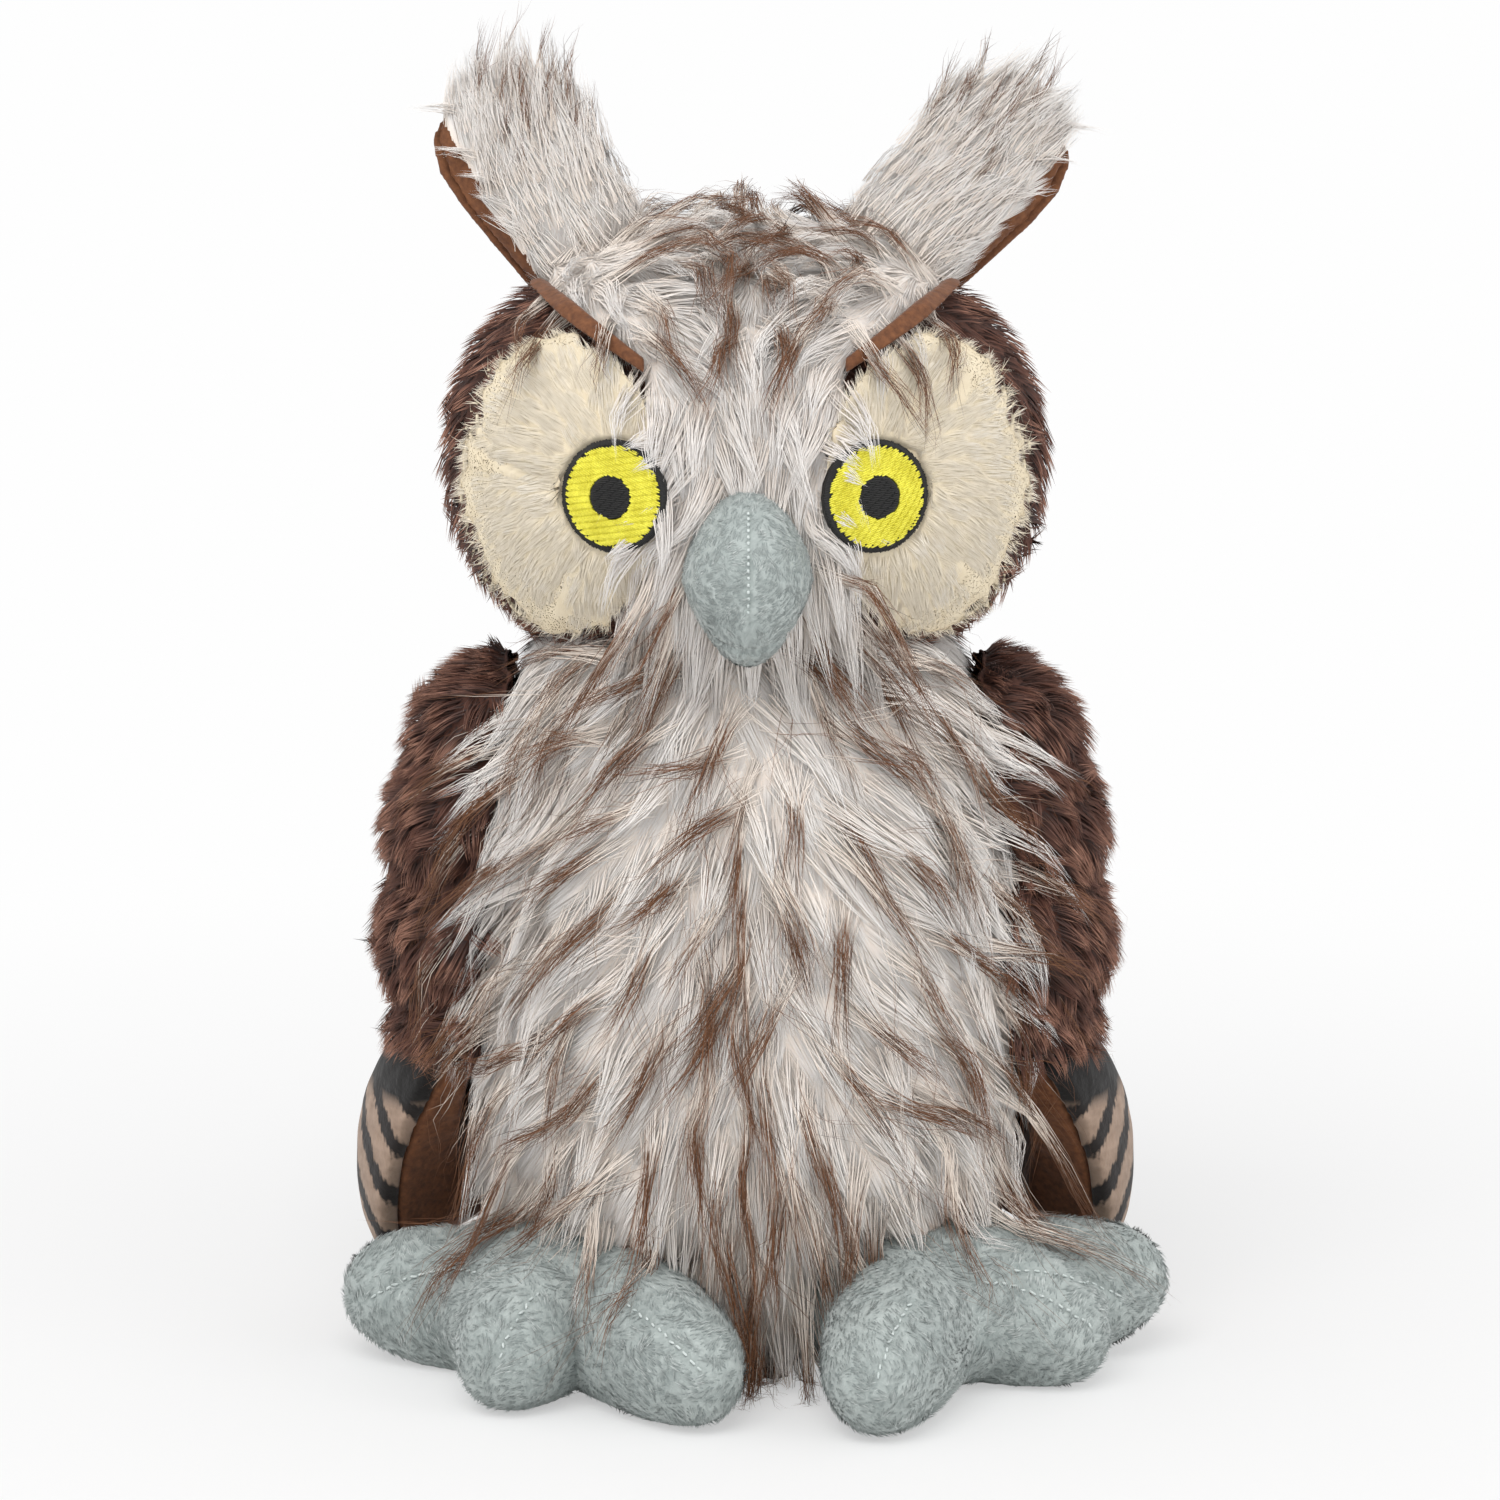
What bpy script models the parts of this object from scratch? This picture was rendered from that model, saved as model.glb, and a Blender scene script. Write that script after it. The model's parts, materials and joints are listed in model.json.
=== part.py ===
"""Sitting plush owl, built as its sewn pieces round their fillings.

Metres, +Z up. The owl faces -Y and rests on Z = 0, with the middle of its base panel at the origin.
Each stuffed piece is a ball pressed into its swelling form, and the smaller pieces are cut by the
larger ones that they are sewn to. A furry panel is as thick as its cloth and the bulk of its pile.
"""

from math import atan2, cos, hypot, pi, radians, sin, sqrt, tan

import bmesh
import bpy
from mathutils import Matrix, Vector

# Fits and cutting
CLEARANCE = 0.0003
OVERRUN = 0.004
WELD = 0.00001
SIDES = {"left": -1, "right": 1}

# The main sizes: how high the neck is, and half the body's width and depth
NECK_HEIGHT = 0.162
BODY_HALF_WIDTH = 0.0665
BODY_HALF_DEPTH = 0.061

# Body: the widest level and how far the form swells above and below it, as shares of the neck's height
BODY_MIDDLE_SHARE = 0.463
BODY_RISE_SHARE = 0.735
BODY_DROP_SHARE = 0.599
BODY_MIDDLE = NECK_HEIGHT * BODY_MIDDLE_SHARE
BODY_RISE = NECK_HEIGHT * BODY_RISE_SHARE
BODY_DROP = NECK_HEIGHT * BODY_DROP_SHARE
BODY_PANEL = 0.008
BASE_PANEL = 0.0015

# Pellet bag, behind the middle of the base
BAG_HALF_WIDTH = 0.028
BAG_HALF_DEPTH = 0.015
BAG_HEIGHT = 0.026
BAG_SETBACK = 0.011

# Head, placed from the neck
HEAD_ABOVE_NECK = 0.041
HEAD_MIDDLE = NECK_HEIGHT + HEAD_ABOVE_NECK
HEAD_WIDTH_SHARE = 1.053
HEAD_DEPTH_SHARE = 0.959
HEAD_HALF_WIDTH = BODY_HALF_WIDTH * HEAD_WIDTH_SHARE
HEAD_HALF_DEPTH = BODY_HALF_DEPTH * HEAD_DEPTH_SHARE
HEAD_RISE = 0.051
HEAD_DROP = 0.053
HEAD_PANEL = 0.007
HEAD_TURN = 30

# White crown panel: half widths from its top to the neck, and how far it runs over the back
CROWN_TOP_HALF = 0.050
CROWN_TOP_BELOW = 0.010
CROWN_BROW_HALF = 0.021
CROWN_BROW_BELOW = 0.026
CROWN_BRIDGE_HALF = 0.017
CROWN_BACK = 0.014

# Suede band under each brow: the front ends of its lower edge, its width at each end, how far it stands
# out, and how far in front of the ear it ends
BROW_INNER = 0.0215
BROW_OUTER = 0.049
BROW_INNER_BELOW = 0.0275
BROW_OUTER_BELOW = 0.0115
BROW_INNER_WIDTH = 0.003
BROW_OUTER_WIDTH = 0.006
BROW_PROUD = 0.0028
BROW_EAR_SPACE = 0.004

# Eye discs and embroidered eyes
DISC_ACROSS = 0.0395
DISC_HALF_WIDTH = 0.0240
DISC_HALF_HEIGHT = 0.0345
DISC_BELOW_MIDDLE = 0.0025
DISC_HEIGHT = HEAD_MIDDLE - DISC_BELOW_MIDDLE
DISC_PROUD = 0.0045
EYE_ACROSS = 0.0285
EYE_HEIGHT = DISC_HEIGHT
EYE_TURN = 22
EYE_RADIUS = 0.0122
RING_WIDTH = 0.0016
PUPIL_RADIUS = 0.0046
EYE_RECESS = 0.0030
EYE_PROUD = 0.0011
EYE_RIM = 0.0016

# Beak
BEAK_BELOW_MIDDLE = 0.017
BEAK_HEIGHT = HEAD_MIDDLE - BEAK_BELOW_MIDDLE
BEAK_HALF_WIDTH = 0.0135
BEAK_HALF_HEIGHT = 0.0180
BEAK_PROUD = 0.0170
BEAK_TIP_TAPER_SHARE = 0.35
BEAK_TOP_TAPER_SHARE = 0.12

# Ear tufts
EAR_ACROSS_SHARE = 0.530
EAR_ACROSS = HEAD_HALF_WIDTH * EAR_ACROSS_SHARE
EAR_ABOVE_MIDDLE = 0.0475
EAR_HEIGHT = HEAD_MIDDLE + EAR_ABOVE_MIDDLE
EAR_LENGTH = 0.043
EAR_HALF_WIDTH = 0.015
EAR_ROOT_RADIUS = 0.009
EAR_LEANS = {"left": 35, "right": 43}
EAR_FLARE_SHARE = 0.25
EAR_TIP_POWER = 6
EAR_SIDE_POWER = 0.5
EAR_LINING = 0.0035
EAR_LINING_TURN = 20
EAR_FORWARD = 20
EAR_BACK = 15

# Wing coverts: four furry rolls hung from the shoulder
COVERT_BELOW_NECK = 0.002
COVERT_TOP = NECK_HEIGHT - COVERT_BELOW_NECK
COVERT_BOTTOM_SHARE = 0.426
COVERT_BOTTOM = NECK_HEIGHT * COVERT_BOTTOM_SHARE
COVERT_THICKNESS = 0.0215
COVERT_TURN = 90
COVERT_HALF_SPAN = 34
ROLL_SHARES = (
    (0.00, 0.32, 1.00, 0.74),
    (0.12, 0.62, 1.04, 0.94),
    (0.44, 0.92, 1.00, 1.00),
    (0.76, 1.14, 0.84, 0.96),
)
ROLL_DROOP_SHARE = 0.3
WING_LIFT = 40

# Striped flight part of a wing, and its suede lining, which is stuffed out to the body
FLIGHT_BOTTOM_SHARE = 0.136
FLIGHT_BOTTOM = NECK_HEIGHT * FLIGHT_BOTTOM_SHARE
FLIGHT_THICKNESS = 0.005
LINING_THICKNESS = 0.0015
LINING_FILL = 0.026
FLIGHT_FLARE = 0.0105
FLIGHT_TIP_GAP = 0.0150
FLIGHT_TOP_EDGE_SHARE = 0.35
FLIGHT_TIP_EDGE_SHARE = 0.75
FLIGHT_TOP_FRONT = 66
FLIGHT_TOP_BACK = 128
FLIGHT_TIP_FRONT = 91
FLIGHT_TIP_BACK = 126
FLIGHT_FRONT_POWER = 1.1
FLIGHT_BACK_POWER = 2
FLIGHT_TIP_ROUND_SHARE = 0.10

# Tail
TAIL_TOP_SHARE = 0.370
TAIL_BOTTOM_SHARE = 0.062
TAIL_TOP = NECK_HEIGHT * TAIL_TOP_SHARE
TAIL_BOTTOM = NECK_HEIGHT * TAIL_BOTTOM_SHARE
TAIL_FLARE = 0.028
TAIL_HALF_SPAN = 19
TAIL_FLARE_POWER = 1.2
TAIL_TIP_ROUND_SHARE = 0.15
TAIL_THICKNESS = 0.005
TAIL_LIFT = 30

# Feet: a palm with three toes, and the pocket in the body that the palm is sewn into
FOOT_ACROSS_SHARE = 0.6
FOOT_FORWARD_SHARE = 0.492
FOOT_HINGE_SHARE = 0.295
FOOT_ACROSS = BODY_HALF_WIDTH * FOOT_ACROSS_SHARE
FOOT_FORWARD = BODY_HALF_DEPTH * FOOT_FORWARD_SHARE
FOOT_HINGE_FORWARD = BODY_HALF_DEPTH * FOOT_HINGE_SHARE
FOOT_HEIGHT = 0.0287
FOOT_FLAT = 0.0005
FOOT_LIFT = 12
FOOT_LIFT_SPARE = 1
PALM_RADIUS = 0.0300
TOE_HALF_WIDTH = 0.0150
TOE_HALF_HEIGHT = 0.0135
TOE_TAPER_SHARE = 0.22
TOE_REACHES = {
    "left": {"outer": 0.0500, "middle": 0.0450, "inner": 0.0640},
    "right": {"outer": 0.0560, "middle": 0.0430, "inner": 0.0630},
}
TOE_TILTS = {"outer": 12, "middle": 0, "inner": 0}
TOE_TURNS = {
    "left": {"outer": 171, "middle": 251, "inner": 302},
    "right": {"outer": 14, "middle": 334, "inner": 258},
}

# How full a stuffed form is, 1 being an ellipsoid and less being squarer
FULLNESS = 0.87
TOE_FULLNESS = 0.72

# Facets of the large, middle and small balls
LARGE = (32, 18)
MIDDLE = (20, 12)
SMALL = (16, 10)
FLAP_STEPS = (8, 8)
TURNED_STEPS = 24

MATERIALS = {
    "long_pile_white": ((0.80, 0.79, 0.77), 0.95),
    "short_pile_brown": ((0.16, 0.075, 0.048), 0.95),
    "suede_brown": ((0.11, 0.042, 0.020), 0.85),
    "plush_cream": ((0.70, 0.58, 0.43), 0.95),
    "thread_black": ((0.012, 0.011, 0.010), 0.45),
    "thread_yellow": ((0.70, 0.63, 0.055), 0.50),
    "plush_grey_green": ((0.35, 0.41, 0.40), 0.90),
    "plush_striped": ((0.18, 0.12, 0.085), 0.95),
    "filling": ((0.85, 0.85, 0.85), 0.95),
    "calico": ((0.60, 0.55, 0.45), 0.90),
}


def clear_scene():
    for obj in list(bpy.data.objects):
        bpy.data.objects.remove(obj, do_unlink=True)


def collection(name):
    made = bpy.data.collections.new(name)
    bpy.context.scene.collection.children.link(made)
    return made


clear_scene()
PARTS = collection("plush_owl")
CUTTERS = collection("cutters")


def material(name):
    """A plain finish in the colour of the cloth, thread or filling."""
    if name in bpy.data.materials:
        return bpy.data.materials[name]
    colour, roughness = MATERIALS[name]
    made = bpy.data.materials.new(name)
    made.use_nodes = True
    shader = made.node_tree.nodes["Principled BSDF"]
    shader.inputs["Base Color"].default_value = (*colour, 1)
    shader.inputs["Roughness"].default_value = roughness
    shader.inputs["Metallic"].default_value = 0
    made.diffuse_color = (*colour, 1)
    return made


def pivot(name, frame, axis, low, high, parent=None):
    """An empty on a joint's axis, which carries the pieces that move with it, within the joint's range."""
    empty = bpy.data.objects.new(name, None)
    empty.empty_display_size = EAR_ROOT_RADIUS
    PARTS.objects.link(empty)
    empty.parent = parent
    empty.matrix_world = frame
    limits = empty.constraints.new("LIMIT_ROTATION")
    limits.owner_space = "LOCAL"
    setattr(limits, f"use_limit_{axis}", True)
    setattr(limits, f"min_{axis}", radians(low))
    setattr(limits, f"max_{axis}", radians(high))
    bpy.context.view_layer.update()
    return empty


def to_object(name, bm, home, parent=None, frame=None):
    """Make an object of a mesh that is modelled in world coordinates, or in a frame of its own."""
    if parent and not frame:
        bm.transform(parent.matrix_world.inverted())
    mesh = bpy.data.meshes.new(name)
    bm.to_mesh(mesh)
    bm.free()
    mesh.shade_smooth()
    obj = bpy.data.objects.new(name, mesh)
    home.objects.link(obj)
    obj.parent = parent
    if frame:
        obj.matrix_world = frame
    return obj


def piece(name, bm, finish, parent=None, frame=None):
    obj = to_object(name, bm, PARTS, parent, frame)
    obj.data.materials.append(material(finish))
    return obj


def cutter(name, bm):
    obj = to_object(name, bm, CUTTERS)
    obj.hide_render = True
    obj.display_type = "WIRE"
    return obj


def combine(obj, other, operation="DIFFERENCE"):
    step = obj.modifiers.new(operation.lower() + "_" + other.name, "BOOLEAN")
    step.operation = operation
    step.solver = "EXACT"
    step.object = other


def soften(obj, angle=radians(40)):
    """Shade a piece smooth but for its sharp edges."""
    obj.data.set_sharp_from_angle(angle=angle)
    return obj


def ball(facets):
    bm = bmesh.new()
    bmesh.ops.create_uvsphere(bm, u_segments=facets[0], v_segments=facets[1], radius=1)
    return bm


def powered(value, power):
    return abs(value) ** power * (1 if value >= 0 else -1)


def face_out(bm):
    bmesh.ops.recalc_face_normals(bm, faces=bm.faces)
    return bm


def block(low, high):
    """A box between two corners."""
    bm = bmesh.new()
    bmesh.ops.create_cube(bm, size=1)
    low, high = Vector(low), Vector(high)
    for v in bm.verts:
        v.co = Vector(((low[i] + high[i]) / 2 + v.co[i] * (high[i] - low[i]) for i in range(3)))
    return face_out(bm)


def prism(outline, start, end, along):
    """A flat outline in the two other axes, drawn out from start to end along one axis."""
    others = [i for i in range(3) if i != along]
    bm = bmesh.new()
    ring = []
    for a, b in outline:
        co = Vector((0, 0, 0))
        co[others[0]], co[others[1]], co[along] = a, b, start
        ring.append(bm.verts.new(co))
    face = bm.faces.new(ring)
    drawn = bmesh.ops.extrude_face_region(bm, geom=[face])["geom"]
    far = [v for v in drawn if isinstance(v, bmesh.types.BMVert)]
    shift = Vector((0, 0, 0))
    shift[along] = end - start
    bmesh.ops.translate(bm, verts=far, vec=shift)
    return face_out(bm)


class Form:
    """An egg-like stuffed form round the Z axis, a little fuller than an ellipsoid."""

    def __init__(self, middle, half_width, half_depth, rise, drop):
        self.middle = middle
        self.half_width = half_width
        self.half_depth = half_depth
        self.rise = rise
        self.drop = drop

    def grown(self, by):
        sizes = (self.half_width, self.half_depth, self.rise, self.drop)
        return Form(self.middle, *(size + by for size in sizes))

    def girth_share(self, height):
        """How wide the form is at a height, as a share of its widest."""
        reach = self.rise if height > self.middle else self.drop
        share = min(abs(height - self.middle) / reach, 1)
        return (1 - share ** (2 / FULLNESS)) ** (FULLNESS / 2)

    def half_width_at(self, height):
        return self.half_width * self.girth_share(height)

    def half_depth_at(self, height):
        return self.half_depth * self.girth_share(height)

    def front_at(self, x, height):
        """How far the form's front lies before the middle plane, at a place across and up."""
        across = min(abs(x) / max(self.half_width_at(height), CLEARANCE), 1)
        return self.half_depth_at(height) * sqrt(1 - across**2)

    def around(self, turn, height, off=0):
        """The point off its surface at a turn from the front towards +X, in degrees."""
        across = (self.half_width_at(height) + off) * sin(radians(turn))
        forward = (self.half_depth_at(height) + off) * cos(radians(turn))
        return Vector((across, -forward, height))

    def solid(self, facets):
        bm = ball(facets)
        for v in bm.verts:
            girth = powered(hypot(v.co.x, v.co.y), FULLNESS)
            turn = atan2(v.co.y, v.co.x)
            lift = powered(v.co.z, FULLNESS) * (self.rise if v.co.z > 0 else self.drop)
            x = self.half_width * girth * cos(turn)
            y = self.half_depth * girth * sin(turn)
            v.co = Vector((x, y, self.middle + lift))
        return face_out(bm)


BODY = Form(BODY_MIDDLE, BODY_HALF_WIDTH, BODY_HALF_DEPTH, BODY_RISE, BODY_DROP)
HEAD = Form(HEAD_MIDDLE, HEAD_HALF_WIDTH, HEAD_HALF_DEPTH, HEAD_RISE, HEAD_DROP)
WIDE = 3 * BODY_HALF_WIDTH
BODY_FLOOR = BASE_PANEL + CLEARANCE
NECK_TOP = NECK_HEIGHT + CLEARANCE / 2
NECK_BOTTOM = NECK_HEIGHT - CLEARANCE / 2


def everything_above(height):
    return block((-WIDE, -WIDE, height), (WIDE, WIDE, height + WIDE))


def everything_below(height):
    return block((-WIDE, -WIDE, height - WIDE), (WIDE, WIDE, height))


def everything_before(y):
    return block((-WIDE, -WIDE, -WIDE), (WIDE, y, 2 * WIDE))


def everything_behind(y):
    return block((-WIDE, y, -WIDE), (WIDE, WIDE, 2 * WIDE))


def toe_aim(name, toe):
    turn = radians(TOE_TURNS[name][toe])
    return Vector((cos(turn), sin(turn), 0))


def heel_place(side, height=0):
    return Vector((side * FOOT_ACROSS, -FOOT_FORWARD, height))


def foot_outline(name, side):
    """The foot's outline on the floor with its clearance, drawn up into a column round it."""
    heel = heel_place(side)
    rounds = [(heel, PALM_RADIUS)]
    rounds += [(heel + toe_aim(name, toe) * (reach - TOE_HALF_WIDTH), TOE_HALF_WIDTH)
               for toe, reach in TOE_REACHES[name].items()]
    bm = bmesh.new()
    for middle, radius in rounds:
        reach = (radius + CLEARANCE) / cos(pi / TURNED_STEPS)
        for step in range(TURNED_STEPS):
            turn = 2 * pi * step / TURNED_STEPS
            rim = middle + Vector((cos(turn), sin(turn), 0)) * reach
            bm.verts.new((rim.x, rim.y, -OVERRUN))
            bm.verts.new((rim.x, rim.y, BODY_MIDDLE))
    hull = bmesh.ops.convex_hull(bm, input=bm.verts)
    spare = set(hull["geom_interior"] + hull["geom_unused"])
    loose = [v for v in bm.verts if v in spare]
    bmesh.ops.delete(bm, geom=loose, context="VERTS")
    return face_out(bm)


def foot_pocket(name, side):
    """The notch in the body's lower front that a foot sits in, with a roof that lets the toes rise."""
    roof = FOOT_HEIGHT + CLEARANCE
    reach = WIDE
    risen = roof + (reach - FOOT_HINGE_FORWARD) * tan(radians(FOOT_LIFT + FOOT_LIFT_SPARE))
    outline = [(reach, -2 * OVERRUN), (reach, roof), (-FOOT_HINGE_FORWARD, roof)]
    outline += [(-reach, risen), (-reach, -2 * OVERRUN)]
    room = cutter(f"{name}_foot_room", prism(outline, -WIDE, WIDE, along=0))
    pocket = cutter(f"{name}_foot_pocket", foot_outline(name, side))
    combine(pocket, room, "INTERSECT")
    return pocket


def pellet_bag(grow=0):
    """The weighted bag: the upper part of a flattened ball, on the base panel."""
    form = Form(0, BAG_HALF_WIDTH + grow, BAG_HALF_DEPTH + grow, BAG_HEIGHT + grow, BAG_HEIGHT)
    bm = form.solid(SMALL)
    bm.transform(Matrix.Translation((0, BAG_SETBACK, BODY_FLOOR)))
    return bm


def make_body():
    """The filling, two furry panels round it, the base panel and the pellet bag."""
    pockets = [foot_pocket(name, side) for name, side in SIDES.items()]
    neck_cut = cutter("body_neck_cut", everything_above(NECK_BOTTOM))
    floor_cut = cutter("body_floor_cut", everything_below(BODY_FLOOR))
    inside = cutter("body_inside", BODY.grown(-BODY_PANEL).solid(MIDDLE))
    front_cut = cutter("body_front_cut", everything_before(CLEARANCE / 2))
    back_cut = cutter("body_back_cut", everything_behind(-CLEARANCE / 2))
    panels = {"body_front_panel": back_cut, "body_back_panel": front_cut}
    finishes = {"body_front_panel": "long_pile_white", "body_back_panel": "short_pile_brown"}
    for name, half_cut in panels.items():
        panel = piece(name, BODY.solid(LARGE), finishes[name])
        for other in (half_cut, inside, neck_cut, floor_cut, *pockets):
            combine(panel, other)
        soften(panel)

    bag_room = cutter("pellet_bag_room", pellet_bag(grow=CLEARANCE))
    fill = piece("body_filling", BODY.grown(-BODY_PANEL - CLEARANCE).solid(MIDDLE), "filling")
    for other in (neck_cut, floor_cut, *pockets, bag_room):
        combine(fill, other)
    soften(fill)

    bag = piece("pellet_bag", pellet_bag(), "calico")
    bag_cut = cutter("pellet_bag_cut", everything_below(BODY_FLOOR))
    combine(bag, bag_cut)

    base = piece("base_panel", BODY.solid(LARGE), "suede_brown")
    combine(base, cutter("base_top_cut", everything_above(BASE_PANEL)))
    combine(base, cutter("base_floor_cut", everything_below(0)))
    for other in pockets:
        combine(base, other)


def crown_area(grow=0):
    """The outline of the crown panel seen from the front, drawn back over the top of the head."""
    top = HEAD_MIDDLE + HEAD_RISE
    halves = (
        (CROWN_TOP_HALF, top + OVERRUN),
        (CROWN_TOP_HALF, top - CROWN_TOP_BELOW),
        (CROWN_BROW_HALF, top - CROWN_BROW_BELOW),
        (CROWN_BRIDGE_HALF, BEAK_HEIGHT),
        (CROWN_BRIDGE_HALF, NECK_HEIGHT - OVERRUN),
    )
    outline = [(half + grow, height) for half, height in halves]
    outline += [(-half - grow, height) for half, height in reversed(halves)]
    return prism(outline, -HEAD_HALF_DEPTH - OVERRUN, CROWN_BACK + grow, along=1)


def ear_frame(name, side):
    lean = Matrix.Rotation(radians(side * EAR_LEANS[name]), 4, "Y")
    return Matrix.Translation((side * EAR_ACROSS, 0, EAR_HEIGHT)) @ lean


def ear_seat(name, side):
    """The groove in the head that an ear's round root turns in."""
    radius = (EAR_ROOT_RADIUS + CLEARANCE) / cos(pi / TURNED_STEPS)
    bm = bmesh.new()
    bmesh.ops.create_cone(
        bm,
        cap_ends=True,
        segments=TURNED_STEPS,
        radius1=radius,
        radius2=radius,
        depth=2 * (EAR_HALF_WIDTH + CLEARANCE),
    )
    bm.transform(ear_frame(name, side) @ Matrix.Rotation(pi / 2, 4, "Y"))
    return bm


def make_head(neck):
    """The filling and the two furry panels of the head."""
    neck_cut = cutter("head_neck_cut", everything_below(NECK_TOP))
    inside = cutter("head_inside", HEAD.grown(-HEAD_PANEL).solid(MIDDLE))
    seats = [cutter(f"{name}_ear_seat", ear_seat(name, side)) for name, side in SIDES.items()]

    crown = piece("head_crown_panel", HEAD.solid(LARGE), "long_pile_white", neck)
    combine(crown, cutter("crown_area", crown_area()), "INTERSECT")
    back = piece("head_back_panel", HEAD.solid(LARGE), "short_pile_brown", neck)
    combine(back, cutter("crown_hole", crown_area(CLEARANCE)))
    for panel in (crown, back):
        for other in (inside, neck_cut, *seats):
            combine(panel, other)
        soften(panel)

    fill_form = HEAD.grown(-HEAD_PANEL - CLEARANCE)
    fill = piece("head_filling", fill_form.solid(MIDDLE), "filling", neck)
    for other in (neck_cut, *seats):
        combine(fill, other)
    soften(fill)


def brow_area(side, band, grow=0):
    """The outline of a brow's suede band seen from the front, or of all that lies above its lower edge."""
    top = HEAD_MIDDLE + HEAD_RISE
    low = [(BROW_INNER - grow, top - BROW_INNER_BELOW), (BROW_OUTER + grow, top - BROW_OUTER_BELOW)]
    widths = (BROW_INNER_WIDTH, BROW_OUTER_WIDTH) if band else (HEAD_RISE, HEAD_RISE)
    outline = [(side * x, z - grow) for x, z in low]
    outline += [(side * x, z + width) for (x, z), width in zip(reversed(low), reversed(widths))]
    end = -EAR_ROOT_RADIUS - BROW_EAR_SPACE if band else 0
    return prism(outline, -HEAD_HALF_DEPTH - DISC_PROUD - OVERRUN, end, along=1)


def make_brow(name, side, head_room, neck):
    """The suede lining of the ear flap, which shows as a band along the brow below the white fur."""
    band = piece(f"{name}_brow_lining", HEAD.grown(BROW_PROUD).solid(LARGE), "suede_brown", neck)
    combine(band, cutter(f"{name}_brow_area", brow_area(side, band=True)), "INTERSECT")
    combine(band, head_room)
    combine(band, bpy.data.objects[f"{name}_ear_seat"])
    soften(band)


def eye_disc(side):
    """An oval pad that lies on the curve of the face."""
    bm = ball(MIDDLE)
    for v in bm.verts:
        x = DISC_ACROSS + v.co.x * DISC_HALF_WIDTH
        z = DISC_HEIGHT + v.co.z * DISC_HALF_HEIGHT
        v.co = Vector((side * x, v.co.y * DISC_PROUD - HEAD.front_at(x, z), z))
    return face_out(bm)


def eye_frame(side):
    """The eye's own frame: its Z axis points out of the face, from the bottom of its recess."""
    turn = radians(side * EYE_TURN)
    facing = Matrix.Rotation(turn, 4, "Z") @ Matrix.Rotation(pi / 2, 4, "X")
    in_disc = (EYE_ACROSS - DISC_ACROSS) / DISC_HALF_WIDTH
    front = HEAD.front_at(EYE_ACROSS, EYE_HEIGHT) + DISC_PROUD * sqrt(1 - in_disc**2)
    surface = Vector((side * EYE_ACROSS, -front, EYE_HEIGHT))
    outward = facing.to_3x3() @ Vector((0, 0, 1))
    return Matrix.Translation(surface - outward * EYE_RECESS) @ facing


def turned(name, profile, finish, frame, parent, closed):
    """A piece turned about its own Z axis from a half section, given down its outer side."""
    bm = bmesh.new()
    points = [bm.verts.new((radius, 0, height)) for radius, height in profile]
    pairs = list(zip(points, points[1:]))
    if closed:
        pairs.append((points[-1], points[0]))
    for pair in pairs:
        bm.edges.new(pair)
    obj = piece(name, bm, finish, parent, frame)
    spin = obj.modifiers.new("turn", "SCREW")
    spin.steps = TURNED_STEPS
    spin.render_steps = TURNED_STEPS
    spin.use_merge_vertices = True
    spin.merge_threshold = WELD
    spin.use_smooth_shade = True
    return obj


def eye_crown(radius):
    """How high the stitching stands at a distance from the eye's middle."""
    rise = EYE_RECESS + EYE_PROUD - EYE_RIM
    return EYE_RIM + rise * (1 - (radius / EYE_RADIUS) ** 2)


def make_eye(name, side, neck):
    """Black ring, yellow iris and black pupil, three areas of stitching side by side."""
    frame = eye_frame(side)
    ring_inner = EYE_RADIUS - RING_WIDTH
    iris_outer = ring_inner - CLEARANCE
    iris_inner = PUPIL_RADIUS + CLEARANCE
    bottom = CLEARANCE
    areas = {
        "ring": (ring_inner, EYE_RADIUS, "thread_black"),
        "iris": (iris_inner, iris_outer, "thread_yellow"),
    }
    for area, (inner, outer, finish) in areas.items():
        middle = (inner + outer) / 2
        profile = [
            (middle, eye_crown(middle)),
            (outer, eye_crown(outer)),
            (outer, bottom),
            (inner, bottom),
            (inner, eye_crown(inner)),
        ]
        turned(f"{name}_eye_{area}", profile, finish, frame, neck, closed=True)
    profile = [
        (0, eye_crown(0)),
        (PUPIL_RADIUS / 2, eye_crown(PUPIL_RADIUS / 2)),
        (PUPIL_RADIUS, eye_crown(PUPIL_RADIUS)),
        (PUPIL_RADIUS, bottom),
        (0, bottom),
    ]
    turned(f"{name}_eye_pupil", profile, "thread_black", frame, neck, closed=False)


def eye_room(side):
    """The round recess in the disc that the stitching draws down."""
    radius = (EYE_RADIUS + CLEARANCE) / cos(pi / TURNED_STEPS)
    bm = bmesh.new()
    bmesh.ops.create_cone(
        bm,
        cap_ends=True,
        segments=TURNED_STEPS,
        radius1=radius,
        radius2=radius,
        depth=2 * EYE_RADIUS,
    )
    bm.transform(eye_frame(side) @ Matrix.Translation((0, 0, EYE_RADIUS)))
    return bm


def beak():
    """A stuffed bill, narrowed towards its tip."""
    bm = ball(MIDDLE)
    for v in bm.verts:
        taper = BEAK_TIP_TAPER_SHARE * max(-v.co.z, 0) + BEAK_TOP_TAPER_SHARE * max(v.co.z, 0)
        x = v.co.x * BEAK_HALF_WIDTH * (1 - taper)
        y = v.co.y * BEAK_PROUD - HEAD_HALF_DEPTH
        v.co = Vector((x, y, BEAK_HEIGHT + v.co.z * BEAK_HALF_HEIGHT))
    return face_out(bm)


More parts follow.
